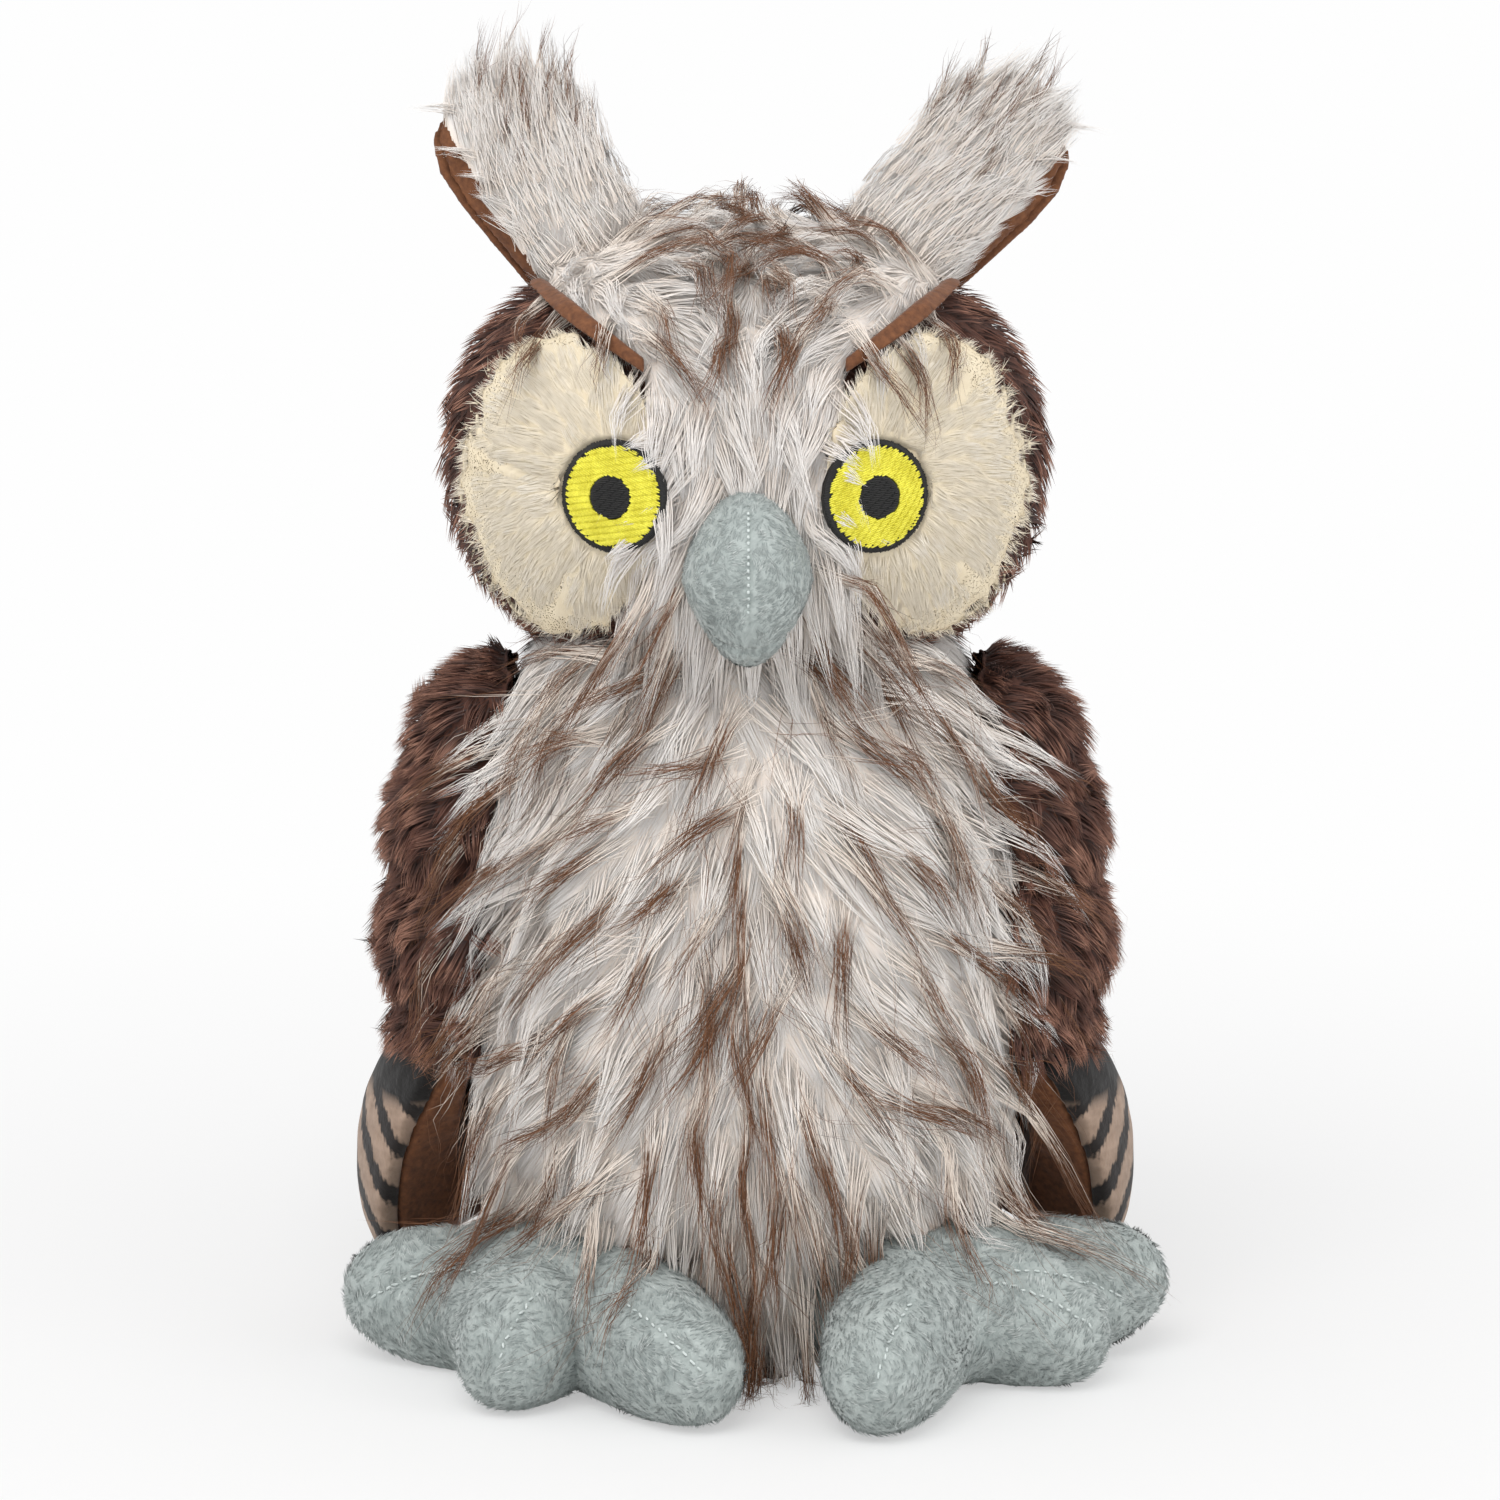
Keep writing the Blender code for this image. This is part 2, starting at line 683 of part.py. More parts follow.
def make_face(neck):
    """Two brows, two eye discs with their eyes, and the beak."""
    head_room = cutter("head_room", HEAD.grown(CLEARANCE).solid(LARGE))
    for name, side in SIDES.items():
        make_brow(name, side, head_room, neck)
        disc = piece(f"{name}_eye_disc", eye_disc(side), "plush_cream", neck)
        combine(disc, head_room)
        over_brow = brow_area(side, band=False, grow=CLEARANCE)
        combine(disc, cutter(f"{name}_over_brow", over_brow))
        combine(disc, cutter(f"{name}_eye_room", eye_room(side)))
        soften(disc)
        make_eye(name, side, neck)
    bill = piece("beak", beak(), "plush_grey_green", neck)
    combine(bill, head_room)
    soften(bill)


def ear():
    """An ear tuft in its own frame: a round root on the X axis, drawn out to a blunt tip."""
    bm = ball(MIDDLE)
    for v in bm.verts:
        girth = hypot(v.co.x, v.co.y)
        turn = atan2(v.co.y, v.co.x)
        if v.co.z > 0:
            broad = (1 - v.co.z**EAR_TIP_POWER) ** EAR_SIDE_POWER * (1 + EAR_FLARE_SHARE * v.co.z)
            z = v.co.z * EAR_LENGTH
        else:
            broad = girth**EAR_SIDE_POWER
            z = v.co.z * EAR_ROOT_RADIUS
        v.co = Vector((EAR_HALF_WIDTH * broad * cos(turn), EAR_ROOT_RADIUS * girth * sin(turn), z))
    return face_out(bm)


def lining_area(side, grow):
    """All that lies behind the seam of an ear, turned so that the lining shows at the outer edge."""
    big = 2 * EAR_LENGTH
    bm = block((-big, EAR_LINING + grow, -big), (big, big, big))
    bm.transform(Matrix.Rotation(radians(-side * EAR_LINING_TURN), 4, "Z"))
    return bm


def make_ear(name, side, neck):
    """A furry front and a suede lining, which bend together about the ear's root."""
    frame = ear_frame(name, side)
    root = pivot(f"{name}_ear_pivot", frame, "x", -EAR_BACK, EAR_FORWARD, neck)
    halves = {"front": ("long_pile_white", "DIFFERENCE", 0)}
    halves["lining"] = ("suede_brown", "INTERSECT", CLEARANCE)
    for half, (finish, operation, grow) in halves.items():
        bm = ear()
        bm.transform(frame)
        obj = piece(f"{name}_ear_{half}", bm, finish, root)
        area = lining_area(side, grow)
        area.transform(frame)
        combine(obj, cutter(f"{name}_ear_{half}_cut", area), operation)
        soften(obj)


def covert_roll(side, shares):
    """One furry roll of a wing, pressed onto the curve of the body."""
    top_share, bottom_share, thick_share, span_share = shares
    tall = COVERT_TOP - COVERT_BOTTOM
    middle = COVERT_TOP - tall * (top_share + bottom_share) / 2
    half = tall * (bottom_share - top_share) / 2
    bm = ball(SMALL)
    for v in bm.verts:
        turn = COVERT_TURN + powered(v.co.y, FULLNESS) * COVERT_HALF_SPAN * span_share
        droop = 1 - ROLL_DROOP_SHARE * (1 + v.co.z) / 2
        off = powered(v.co.x, FULLNESS) * COVERT_THICKNESS * thick_share * droop
        place = BODY.around(turn, middle + half * powered(v.co.z, FULLNESS), off)
        v.co = Vector((side * place.x, place.y, place.z))
    return face_out(bm)


def flap(side, top, bottom, turn_at, drop_at, off_at, steps):
    """An open sheet hung round the body.

    turn_at and drop_at give its turn from the front and its drop from top to bottom at each share
    across and down. off_at gives how far it stands off the body at a share across and a drop.
    """
    bm = bmesh.new()
    bmesh.ops.create_grid(bm, x_segments=steps[0], y_segments=steps[1], size=1)
    for v in bm.verts:
        across, down = v.co.x, (1 - v.co.y) / 2
        drop = drop_at(across, down)
        place = BODY.around(turn_at(across, down), top - (top - bottom) * drop, off_at(across, drop))
        v.co = Vector((side * place.x, place.y, place.z))
    bmesh.ops.triangulate(bm, faces=bm.faces, quad_method="FIXED")
    bm.normal_update()
    outward = sum(f.normal.dot(Vector((*f.calc_center_median().xy, 0))) for f in bm.faces)
    if outward < 0:
        bmesh.ops.reverse_faces(bm, faces=bm.faces)
    return bm


def thicken(obj, thickness, offset):
    step = obj.modifiers.new("thickness", "SOLIDIFY")
    step.thickness = thickness
    step.offset = offset


def flight_sheet(side, inward=0):
    """The wing's lower part: it bulges off the body, and its front edge runs back as it goes down."""

    def turn_at(across, down):
        front = FLIGHT_TOP_FRONT + (FLIGHT_TIP_FRONT - FLIGHT_TOP_FRONT) * down**FLIGHT_FRONT_POWER
        back = FLIGHT_TOP_BACK + (FLIGHT_TIP_BACK - FLIGHT_TOP_BACK) * down**FLIGHT_BACK_POWER
        return (front + back) / 2 + across * (back - front) / 2

    def drop_at(across, down):
        return down * (1 - FLIGHT_TIP_ROUND_SHARE * across**2 * down)

    def off_at(across, drop):
        held = LINING_THICKNESS + 3 * CLEARANCE - inward
        edge = FLIGHT_TOP_EDGE_SHARE + (FLIGHT_TIP_EDGE_SHARE - FLIGHT_TOP_EDGE_SHARE) * drop
        plump = 1 - (1 - edge) * across**2
        return held + (FLIGHT_FLARE * sin(pi * drop**FULLNESS) + FLIGHT_TIP_GAP * drop) * plump

    top = COVERT_BOTTOM + OVERRUN
    return flap(side, top, FLIGHT_BOTTOM, turn_at, drop_at, off_at, FLAP_STEPS)


def make_wing(name, side):
    """Furry covert, striped flight part and its stuffed suede lining, all hung from the shoulder."""
    shoulder_place = Vector((side * BODY.half_width_at(COVERT_TOP), 0, COVERT_TOP))
    low, high = sorted((0, -side * WING_LIFT))
    shoulder = pivot(f"{name}_wing_pivot", Matrix.Translation(shoulder_place), "y", low, high)
    rolls = [covert_roll(side, shares) for shares in ROLL_SHARES]
    covert = piece(f"{name}_wing_covert", rolls[0], "short_pile_brown", shoulder)
    for number, roll in enumerate(rolls[1:], 2):
        combine(covert, cutter(f"{name}_covert_roll_{number}", roll), "UNION")
    combine(covert, bpy.data.objects["body_room"])
    combine(covert, cutter(f"{name}_covert_cut", everything_below(COVERT_BOTTOM)))
    combine(covert, cutter(f"{name}_covert_top_cut", everything_above(COVERT_TOP)))
    soften(covert)
    top_cut = cutter(f"{name}_flight_top_cut", everything_above(COVERT_BOTTOM - CLEARANCE))
    flight = piece(f"{name}_wing_flight", flight_sheet(side), "plush_striped", shoulder)
    thicken(flight, FLIGHT_THICKNESS, 1)
    lining_sheet = flight_sheet(side, inward=CLEARANCE)
    lining = piece(f"{name}_wing_lining", lining_sheet, "suede_brown", shoulder)
    thicken(lining, LINING_FILL, -1)
    combine(lining, bpy.data.objects["body_room"])
    for sheet in (flight, lining):
        combine(sheet, top_cut)
        soften(sheet)


def tail_sheet(inward=0):
    """The tail: a short flap that stands off the back as it goes down."""

    def turn_at(across, down):
        return 180 + across * TAIL_HALF_SPAN

    def drop_at(across, down):
        return down * (1 - TAIL_TIP_ROUND_SHARE * across**2)

    def off_at(across, drop):
        return LINING_THICKNESS + 3 * CLEARANCE - inward + TAIL_FLARE * drop**TAIL_FLARE_POWER

    return flap(1, TAIL_TOP, TAIL_BOTTOM, turn_at, drop_at, off_at, FLAP_STEPS)


def make_tail():
    """A short striped flap with a suede lining, sewn across its top edge."""
    place = Vector((0, BODY.half_depth_at(TAIL_TOP), TAIL_TOP))
    root = pivot("tail_pivot", Matrix.Translation(place), "x", 0, TAIL_LIFT)
    top = piece("tail_top", tail_sheet(), "plush_striped", root)
    thicken(top, TAIL_THICKNESS, 1)
    lining = piece("tail_lining", tail_sheet(inward=CLEARANCE), "suede_brown", root)
    thicken(lining, LINING_THICKNESS, -1)
    for sheet in (top, lining):
        soften(sheet)


def stuffed_lobe(half_length, half_width, half_height, place, turn=0, tilt=0):
    """A blunt stuffed lobe on its side, thinner and lower at its tip, turned in plan and tilted up."""
    bm = ball(SMALL)
    for v in bm.verts:
        girth = powered(hypot(v.co.x, v.co.y), TOE_FULLNESS)
        about = atan2(v.co.y, v.co.x)
        narrow = 1 - TOE_TAPER_SHARE * v.co.z
        x = powered(v.co.z, TOE_FULLNESS) * half_length
        y = half_width * girth * narrow * sin(about)
        z = half_height * (narrow - 1 - girth * narrow * cos(about))
        v.co = Vector((x, y, z))
    aim = Matrix.Rotation(radians(turn), 4, "Z") @ Matrix.Rotation(radians(-tilt), 4, "Y")
    bm.transform(Matrix.Translation(place) @ aim)
    return face_out(bm)


def palm(place, half_height):
    form = Form(0, PALM_RADIUS, PALM_RADIUS, half_height, half_height)
    bm = form.solid(SMALL)
    bm.transform(Matrix.Translation(place))
    return bm


def make_foot(name, side):
    """A palm and three toes, drawn into one stuffed piece, that lifts about its sewn top edge."""
    heel = heel_place(side, (FOOT_HEIGHT - FOOT_FLAT) / 2)
    place = Vector((heel.x, -FOOT_HINGE_FORWARD, FOOT_HEIGHT))
    hinge = pivot(f"{name}_foot_pivot", Matrix.Translation(place), "x", -FOOT_LIFT, 0)
    foot = piece(f"{name}_foot", palm(heel, (FOOT_HEIGHT + FOOT_FLAT) / 2), "plush_grey_green", hinge)
    for toe, reach in TOE_REACHES[name].items():
        turn, tilt = TOE_TURNS[name][toe], TOE_TILTS[toe]
        half_length = (reach + TOE_HALF_WIDTH) / 2
        lift = sin(radians(tilt)) * (half_length - PALM_RADIUS - TOE_HALF_WIDTH)
        root = heel_place(side, TOE_HALF_HEIGHT - FOOT_FLAT + lift)
        middle = root + toe_aim(name, toe) * (reach - half_length)
        lobe = stuffed_lobe(half_length, TOE_HALF_WIDTH, TOE_HALF_HEIGHT, middle, turn, tilt)
        combine(foot, cutter(f"{name}_{toe}_toe", lobe), "UNION")
    combine(foot, cutter(f"{name}_foot_flat", everything_below(0)))
    soften(foot)


def make_owl():
    make_body()
    place = Vector((0, 0, NECK_HEIGHT))
    neck = pivot("neck_pivot", Matrix.Translation(place), "z", -HEAD_TURN, HEAD_TURN)
    make_head(neck)
    make_face(neck)
    cutter("body_room", BODY.grown(CLEARANCE).solid(LARGE))
    for name, side in SIDES.items():
        make_ear(name, side, neck)
        make_wing(name, side)
        make_foot(name, side)
    make_tail()
    bpy.context.view_layer.update()


make_owl()
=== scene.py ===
# %% [markdown]
# # A long-haired plush owl
# The toy is a stuffed animal with big horned ears, embroidered eyes in two cream discs, a stuffed bill,
# hanging wings and six fat toes. Most of what the eye meets is pile: long white fur with brown tips on
# the front, short brown fur on the wings and back. We load the sewn forms that were modelled before,
# give each one its own cloth, and then grow the pile on them as real strands.

# %% Load the sewn forms
import json
from math import cos, pi, radians, sin
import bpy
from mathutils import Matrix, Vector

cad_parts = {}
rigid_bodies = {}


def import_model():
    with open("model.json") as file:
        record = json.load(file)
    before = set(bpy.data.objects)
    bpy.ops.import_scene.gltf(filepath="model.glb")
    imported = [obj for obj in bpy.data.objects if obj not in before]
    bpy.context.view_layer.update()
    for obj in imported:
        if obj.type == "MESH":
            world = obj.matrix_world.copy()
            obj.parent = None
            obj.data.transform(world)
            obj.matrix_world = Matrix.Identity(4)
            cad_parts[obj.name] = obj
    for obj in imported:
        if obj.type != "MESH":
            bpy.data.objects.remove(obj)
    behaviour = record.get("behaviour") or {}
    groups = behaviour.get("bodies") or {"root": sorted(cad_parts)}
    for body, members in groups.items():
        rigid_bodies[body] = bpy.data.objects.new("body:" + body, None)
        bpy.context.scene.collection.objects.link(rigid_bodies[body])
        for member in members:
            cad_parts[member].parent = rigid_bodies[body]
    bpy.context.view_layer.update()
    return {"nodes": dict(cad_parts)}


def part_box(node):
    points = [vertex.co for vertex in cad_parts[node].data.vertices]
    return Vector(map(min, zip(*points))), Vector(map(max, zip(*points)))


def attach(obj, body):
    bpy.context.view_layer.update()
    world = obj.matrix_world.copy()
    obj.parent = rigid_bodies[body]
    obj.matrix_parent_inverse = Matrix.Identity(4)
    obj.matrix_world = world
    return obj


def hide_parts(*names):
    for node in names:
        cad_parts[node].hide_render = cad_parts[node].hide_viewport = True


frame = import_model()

from types import SimpleNamespace

import bmesh
import bpy
import numpy as np
from mathutils import Vector
from mathutils.bvhtree import BVHTree
from mathutils.kdtree import KDTree

SIDES = {"left": -1, "right": 1}
MM = 0.001
OWL = bpy.data.collections.new("owl")
bpy.context.scene.collection.children.link(OWL)

# %% [markdown]
# The photograph looks at the owl from a little above, with a long lens: the feet show their tops and
# the bill hardly hides the chest. A camera 1.1 m away and 10 degrees up gives the same outlines.

# %% Camera
AIM = Vector((0.0011, 0, 0.1355))
DISTANCE = 1.1
ELEVATION = radians(10)
FRAME_WIDTH = 0.3414
toward = Vector((0, -cos(ELEVATION), sin(ELEVATION)))
bpy.ops.object.camera_add(location=AIM + toward * DISTANCE, rotation=(pi / 2 - ELEVATION, 0, 0))
camera = bpy.context.object
camera.data.lens = camera.data.sensor_width * DISTANCE / FRAME_WIDTH
bpy.context.scene.camera = camera
print("camera", [round(v, 3) for v in camera.location], "lens", round(camera.data.lens, 1))

# %% [markdown]
# Every colour is picked as a screen hex value, so one function turns it into the linear light that
# shaders work in. Another adds a node with its settings and links in one line.

# %% Colours and nodes
def linear(code):
    """A hex colour as linear red, green, blue and 1."""
    parts = [int(code[i:i + 2], 16) / 255 for i in (1, 3, 5)]
    return (*[p / 12.92 if p <= 0.04045 else ((p + 0.055) / 1.055) ** 2.4 for p in parts], 1)


def add(tree, kind, settings, links=None):
    """A new node: settings name its fields or inputs, and links feed its inputs."""
    node = tree.nodes.new("ShaderNode" + kind)
    for key, value in settings.items():
        if isinstance(key, int) or key in node.inputs:
            node.inputs[key].default_value = value
        else:
            setattr(node, key, value)
    for key, socket in (links or {}).items():
        tree.links.new(socket, node.inputs[key])
    return node


def new_material(name):
    made = bpy.data.materials.new(name)
    made.use_nodes = True
    return made, made.node_tree, made.node_tree.nodes["Principled BSDF"]


print("white as light", [round(v, 3) for v in linear("#f2f0ee")])

# %% [markdown]
# The studio is a white sweep: one soft box high in front, two at the sides, and a white surrounding
# that the camera sees. The floor is pale and keeps the owl's shadow near it. Further off it fades
# into the same white as the background, for the camera only.

# %% Studio
bpy.ops.mesh.primitive_plane_add(size=40)
floor = bpy.context.object
floor.name = "floor"
made, tree, shader = new_material("pale studio floor")
shader.inputs["Base Color"].default_value = linear("#ebebeb")
shader.inputs["Roughness"].default_value = 0.9
place = add(tree, "TexCoord", {}).outputs["Object"]
far = add(tree, "VectorMath", {"operation": "LENGTH"}, {0: place}).outputs["Value"]
WHITE_FROM, WHITE_BY, WHITE_AT_THE_OWL = 0.10, 0.55, 0.45
settings = {"interpolation_type": "SMOOTHSTEP", "From Min": WHITE_FROM, "From Max": WHITE_BY,
            "To Min": WHITE_AT_THE_OWL}
fade = add(tree, "MapRange", settings, {"Value": far})
path = add(tree, "LightPath", {})
seen = add(tree, "Math", {"operation": "MULTIPLY"}, {0: fade.outputs[0], 1: path.outputs["Is Camera Ray"]})
white = add(tree, "Emission", {"Color": linear("#fefefe"), "Strength": 1})
sweep = add(tree, "MixShader", {}, {0: seen.outputs[0], 1: shader.outputs[0], 2: white.outputs[0]})
tree.links.new(sweep.outputs[0], tree.nodes["Material Output"].inputs["Surface"])
floor.data.materials.append(made)

world = bpy.data.worlds.new("white surrounding")
bpy.context.scene.world = world
world.use_nodes = True
SURROUNDING_LIGHT = 0.76
tree = world.node_tree
path = add(tree, "LightPath", {})
shown = path.outputs["Is Camera Ray"]
for ray in ("Is Glossy Ray", "Is Transmission Ray"):
    shown = add(tree, "Math", {"operation": "MAXIMUM"}, {0: shown, 1: path.outputs[ray]}).outputs[0]
level = add(tree, "MapRange", {"To Min": SURROUNDING_LIGHT}, {"Value": shown})
tree.nodes["Background"].inputs["Color"].default_value = (1, 1, 1, 1)
tree.links.new(level.outputs[0], tree.nodes["Background"].inputs["Strength"])


def soft_box(name, place, width, height, power):
    bpy.ops.object.light_add(type="AREA", location=place)
    lamp = bpy.context.object
    lamp.name = name
    lamp.data.shape = "RECTANGLE"
    lamp.data.size = width
    lamp.data.size_y = height
    lamp.data.energy = power
    lamp.rotation_euler = (AIM - Vector(place)).to_track_quat("-Z", "Y").to_euler()


soft_box("high soft box", (-0.25, -1.0, 1.45), 1.2, 0.9, 13.0)
soft_box("left soft box", (-1.3, -0.8, 0.55), 0.8, 1.1, 2.5)
soft_box("right soft box", (1.3, -0.8, 0.55), 0.8, 1.1, 4.8)
bpy.context.scene.view_settings.view_transform = "Standard"

# %% [markdown]
# Pile is drawn as strands, and each strand takes its colour from a small chart in its UV map: how far
# along the strand a point lies, and which row of the chart the strand belongs to. A higher row turns
# to its tip colour sooner. That is how tipped fur is dyed: the knitted pile is white, and the last
# part of each hair is printed brown. Where a root is darker than its shaft, that is painted shade,
# standing in for the pile shading itself down by the cloth.

# %% Pile materials
ROWS = 48
PILE_ROUGHNESS = 0.62


def pile_material(name, root, shaft, tip_light, tip_dark, blend, reach=0.85):
    """Pile: root to shaft colour along a strand, then the dyed tip colour from a share set by its row.

    A root darker than its shaft is painted shade, where the pile shades itself down by the cloth.
    """
    made, tree, shader = new_material(name)
    chart = add(tree, "UVMap", {"uv_map": "OFBake"})
    axes = add(tree, "SeparateXYZ", {}, {0: chart.outputs[0]})
    along, up = axes.outputs["X"], axes.outputs["Y"]
    row = add(tree, "Math", {"operation": "MULTIPLY", 1: ROWS}, {0: up})
    row = add(tree, "Math", {"operation": "FLOOR"}, {0: row.outputs[0]})
    chance = add(tree, "TexWhiteNoise", {"noise_dimensions": "1D"}, {"W": row.outputs[0]}).outputs["Value"]
    # Root to shaft: a root darker than its shaft is painted shade deep in the pile.
    base = add(tree, "MixRGB", {1: linear(root), 2: linear(shaft)}, {0: along})
    tip = add(tree, "MixRGB", {1: linear(tip_light), 2: linear(tip_dark)}, {0: chance})
    start = add(tree, "MapRange", {"To Min": 1.0, "To Max": 1 - reach}, {"Value": up})
    end = add(tree, "Math", {"operation": "ADD", 1: blend}, {0: start.outputs[0]})
    links = {"Value": along, "From Min": start.outputs[0], "From Max": end.outputs[0]}
    dyed = add(tree, "MapRange", {"interpolation_type": "SMOOTHSTEP"}, links)
    colour = add(tree, "MixRGB", {}, {0: dyed.outputs[0], 1: base.outputs[0], 2: tip.outputs[0]})
    tree.links.new(colour.outputs[0], shader.inputs["Base Color"])
    shader.inputs["Roughness"].default_value = PILE_ROUGHNESS
    return made


# The white, grey-green, brown and cream piles have roots painted darker than their shafts, as painted shade
# deep in the pile, and the white pile's warm root is painted warm shade. The white pile's beige tips are used
# low on the body, partly as the wool's own beige and partly as painted shade.
WHITE_PILE = pile_material("acrylic long pile", "#f4e6d9", "#fefcfa", "#dcc0a8", "#b0876a", blend=0.5)
TIPPED_PILE = pile_material("tipped acrylic long pile", "#f4eae0", "#e8d3bf", "#825433", "#382114",
                            blend=0.25, reach=0.95)
MINKY_PILE = pile_material("grey-green minky fibres", "#868f8d", "#b2bab8", "#dfe4e2", "#9ba4a1", blend=0.5)
BROWN_PILE = pile_material("brown short pile", "#2c1812", "#6c4233", "#bb8b74", "#7c4f3d",
                           blend=0.5, reach=0.9)
CREAM_PILE = pile_material("cream short pile", "#eee0c6", "#faefdb", "#fff7ea", "#f6ead4",
                           blend=0.5, reach=0.9)
print("pile chart rows", ROWS)

# %% [markdown]
# Under the pile lies the cloth. Knitted backing shows between the strands, so it gets a soft mottle in
# the colour of its pile. Suede cloth is a brushed microfibre: matt, with a slightly lighter nap where
# it was stroked. The grey-green feet and bill are minky, a 2 mm velour whose fibres lie in swirls.

# %% Cloth materials
def mottled(name, dark, light, size_mm, roughness, depth, sheen=0.0):
    """Cloth whose colour and height vary in patches of about size_mm."""
    made, tree, shader = new_material(name)
    place = add(tree, "TexCoord", {}).outputs["Object"]
    settings = {"Scale": 1000 / size_mm, "Detail": 5, "Roughness": 0.6}
    patches = add(tree, "TexNoise", settings, {"Vector": place})
    ramp = add(tree, "MapRange", {"From Min": 0.3, "From Max": 0.7}, {"Value": patches.outputs["Fac"]})
    colour = add(tree, "MixRGB", {1: linear(dark), 2: linear(light)}, {0: ramp.outputs[0]})
    bump = add(tree, "Bump", {"Strength": 1.0, "Distance": depth * MM}, {"Height": patches.outputs["Fac"]})
    tree.links.new(colour.outputs[0], shader.inputs["Base Color"])
    tree.links.new(bump.outputs[0], shader.inputs["Normal"])
    shader.inputs["Roughness"].default_value = roughness
    shader.inputs["Sheen Weight"].default_value = sheen
    shader.inputs["Sheen Roughness"].default_value = 0.4
    return made


WHITE_BACKING = mottled("white knitted backing", "#eadfd4", "#f6f1ec", 3.0, 0.95, 0.4)
BROWN_BACKING = mottled("brown knitted backing", "#3c221a", "#5d3b2f", 3.0, 0.95, 0.4)
CREAM_BACKING = mottled("cream knitted backing", "#dccdb0", "#e9dcc2", 5.0, 0.95, 0.3)
SUEDE = mottled("brushed microfibre suede", "#56311a", "#80502f", 1.6, 0.85, 0.12, sheen=0.15)
print("cloths", [m.name for m in bpy.data.materials if "backing" in m.name or "suede" in m.name])

# %% [markdown]
# Real minky fibres are far too fine to show, so they are drawn as a bent noise about 1.6 mm wide, with
# broader patches where the velour was stroked one way or the other. The eye takes it for felted fluff.

# %% Minky
MINKY_FIBRES = 620
MINKY, tree, shader = new_material("grey-green minky velour")
place = add(tree, "TexCoord", {}).outputs["Object"]
drift = add(tree, "TexNoise", {"Scale": 90, "Detail": 2}, {"Vector": place}).outputs["Color"]
settings = {"operation": "MULTIPLY_ADD", 1: (0.012, 0.012, 0.012)}
bent = add(tree, "VectorMath", settings, {0: drift, 2: place}).outputs[0]
settings = {"Scale": MINKY_FIBRES, "Detail": 3, "Roughness": 0.6, "Distortion": 1.4}
fibres = add(tree, "TexNoise", settings, {"Vector": bent})
stroked = add(tree, "TexNoise", {"Scale": 150, "Detail": 4, "Distortion": 0.8}, {"Vector": bent})
worn = add(tree, "TexNoise", {"Scale": 35, "Detail": 2}, {"Vector": place})
both = add(tree, "MixRGB", {0: 0.5}, {1: fibres.outputs["Fac"], 2: stroked.outputs["Fac"]})
both = add(tree, "MixRGB", {0: 0.25}, {1: both.outputs[0], 2: worn.outputs["Fac"]})
tones = add(tree, "ValToRGB", {}, {"Fac": both.outputs[0]})
for number, (position, code) in enumerate(((0.36, "#8a9391"), (0.64, "#b8c0bd"))):
    tones.color_ramp.elements[number].position = position
    tones.color_ramp.elements[number].color = linear(code)
bump = add(tree, "Bump", {"Strength": 1.0, "Distance": 0.5 * MM}, {"Height": both.outputs[0]})
tree.links.new(tones.outputs[0], shader.inputs["Base Color"])
tree.links.new(bump.outputs[0], shader.inputs["Normal"])
shader.inputs["Roughness"].default_value = 0.9
shader.inputs["Sheen Weight"].default_value = 0.25
shader.inputs["Sheen Roughness"].default_value = 0.5
print("minky fibres drawn", round(1000 / MINKY_FIBRES, 1), "mm apart")

# %% [markdown]
# The stripes run aslant across the flight part, dark brown and taupe in turn about 7 mm apart as they
# hang, and a black band lies under the rolls. The print has the small zigzag of a knitted plush. A map
# of the cloth laid flat, in metres, carries the pattern, so it follows the flap round the wing.

# %% Striped plush
STRIPE_PERIOD, BAND_FROM, BAND_TO = 0.0122, 0.0095, 0.0125
ZIGZAG, RAGGEDNESS = 0.0006, 0.0045
STRIPED, tree, shader = new_material("striped knitted plush")
cloth = add(tree, "UVMap", {"uv_map": "cloth"}).outputs[0]
axes = add(tree, "SeparateXYZ", {}, {0: cloth})
across, drop = axes.outputs["X"], axes.outputs["Y"]
knit = add(tree, "TexWave", {"Scale": 260, "bands_direction": "X"}, {"Vector": cloth}).outputs["Fac"]
ragged = add(tree, "TexNoise", {"Scale": 420, "Detail": 3}, {"Vector": cloth}).outputs["Fac"]
slant = add(tree, "Math", {"operation": "ADD"}, {0: across, 1: drop})
jag = add(tree, "Math", {"operation": "MULTIPLY_ADD", 1: ZIGZAG}, {0: knit, 2: slant.outputs[0]})
jag = add(tree, "Math", {"operation": "MULTIPLY_ADD", 1: RAGGEDNESS}, {0: ragged, 2: jag.outputs[0]})
phase = add(tree, "Math", {"operation": "MULTIPLY", 1: 2 * pi / STRIPE_PERIOD}, {0: jag.outputs[0]})
stripe = add(tree, "Math", {"operation": "SINE"}, {0: phase.outputs[0]})
stripe = add(tree, "MapRange", {"From Min": -0.55, "From Max": 0.0}, {"Value": stripe.outputs[0]})
taupe = add(tree, "MixRGB", {1: linear("#75604f"), 2: linear("#b89f8d")}, {0: ragged})
printed = add(tree, "MixRGB", {1: linear("#1b1412")}, {0: stripe.outputs[0], 2: taupe.outputs[0]})
band = add(tree, "MapRange", {"From Min": BAND_FROM, "From Max": BAND_TO}, {"Value": drop})
printed = add(tree, "MixRGB", {1: linear("#0d0a09")}, {0: band.outputs[0], 2: printed.outputs[0]})
bump = add(tree, "Bump", {"Strength": 1.0, "Distance": 0.5 * MM}, {"Height": ragged})
tree.links.new(printed.outputs[0], shader.inputs["Base Color"])
tree.links.new(bump.outputs[0], shader.inputs["Normal"])
shader.inputs["Roughness"].default_value = 0.92
shader.inputs["Sheen Weight"].default_value = 0.1
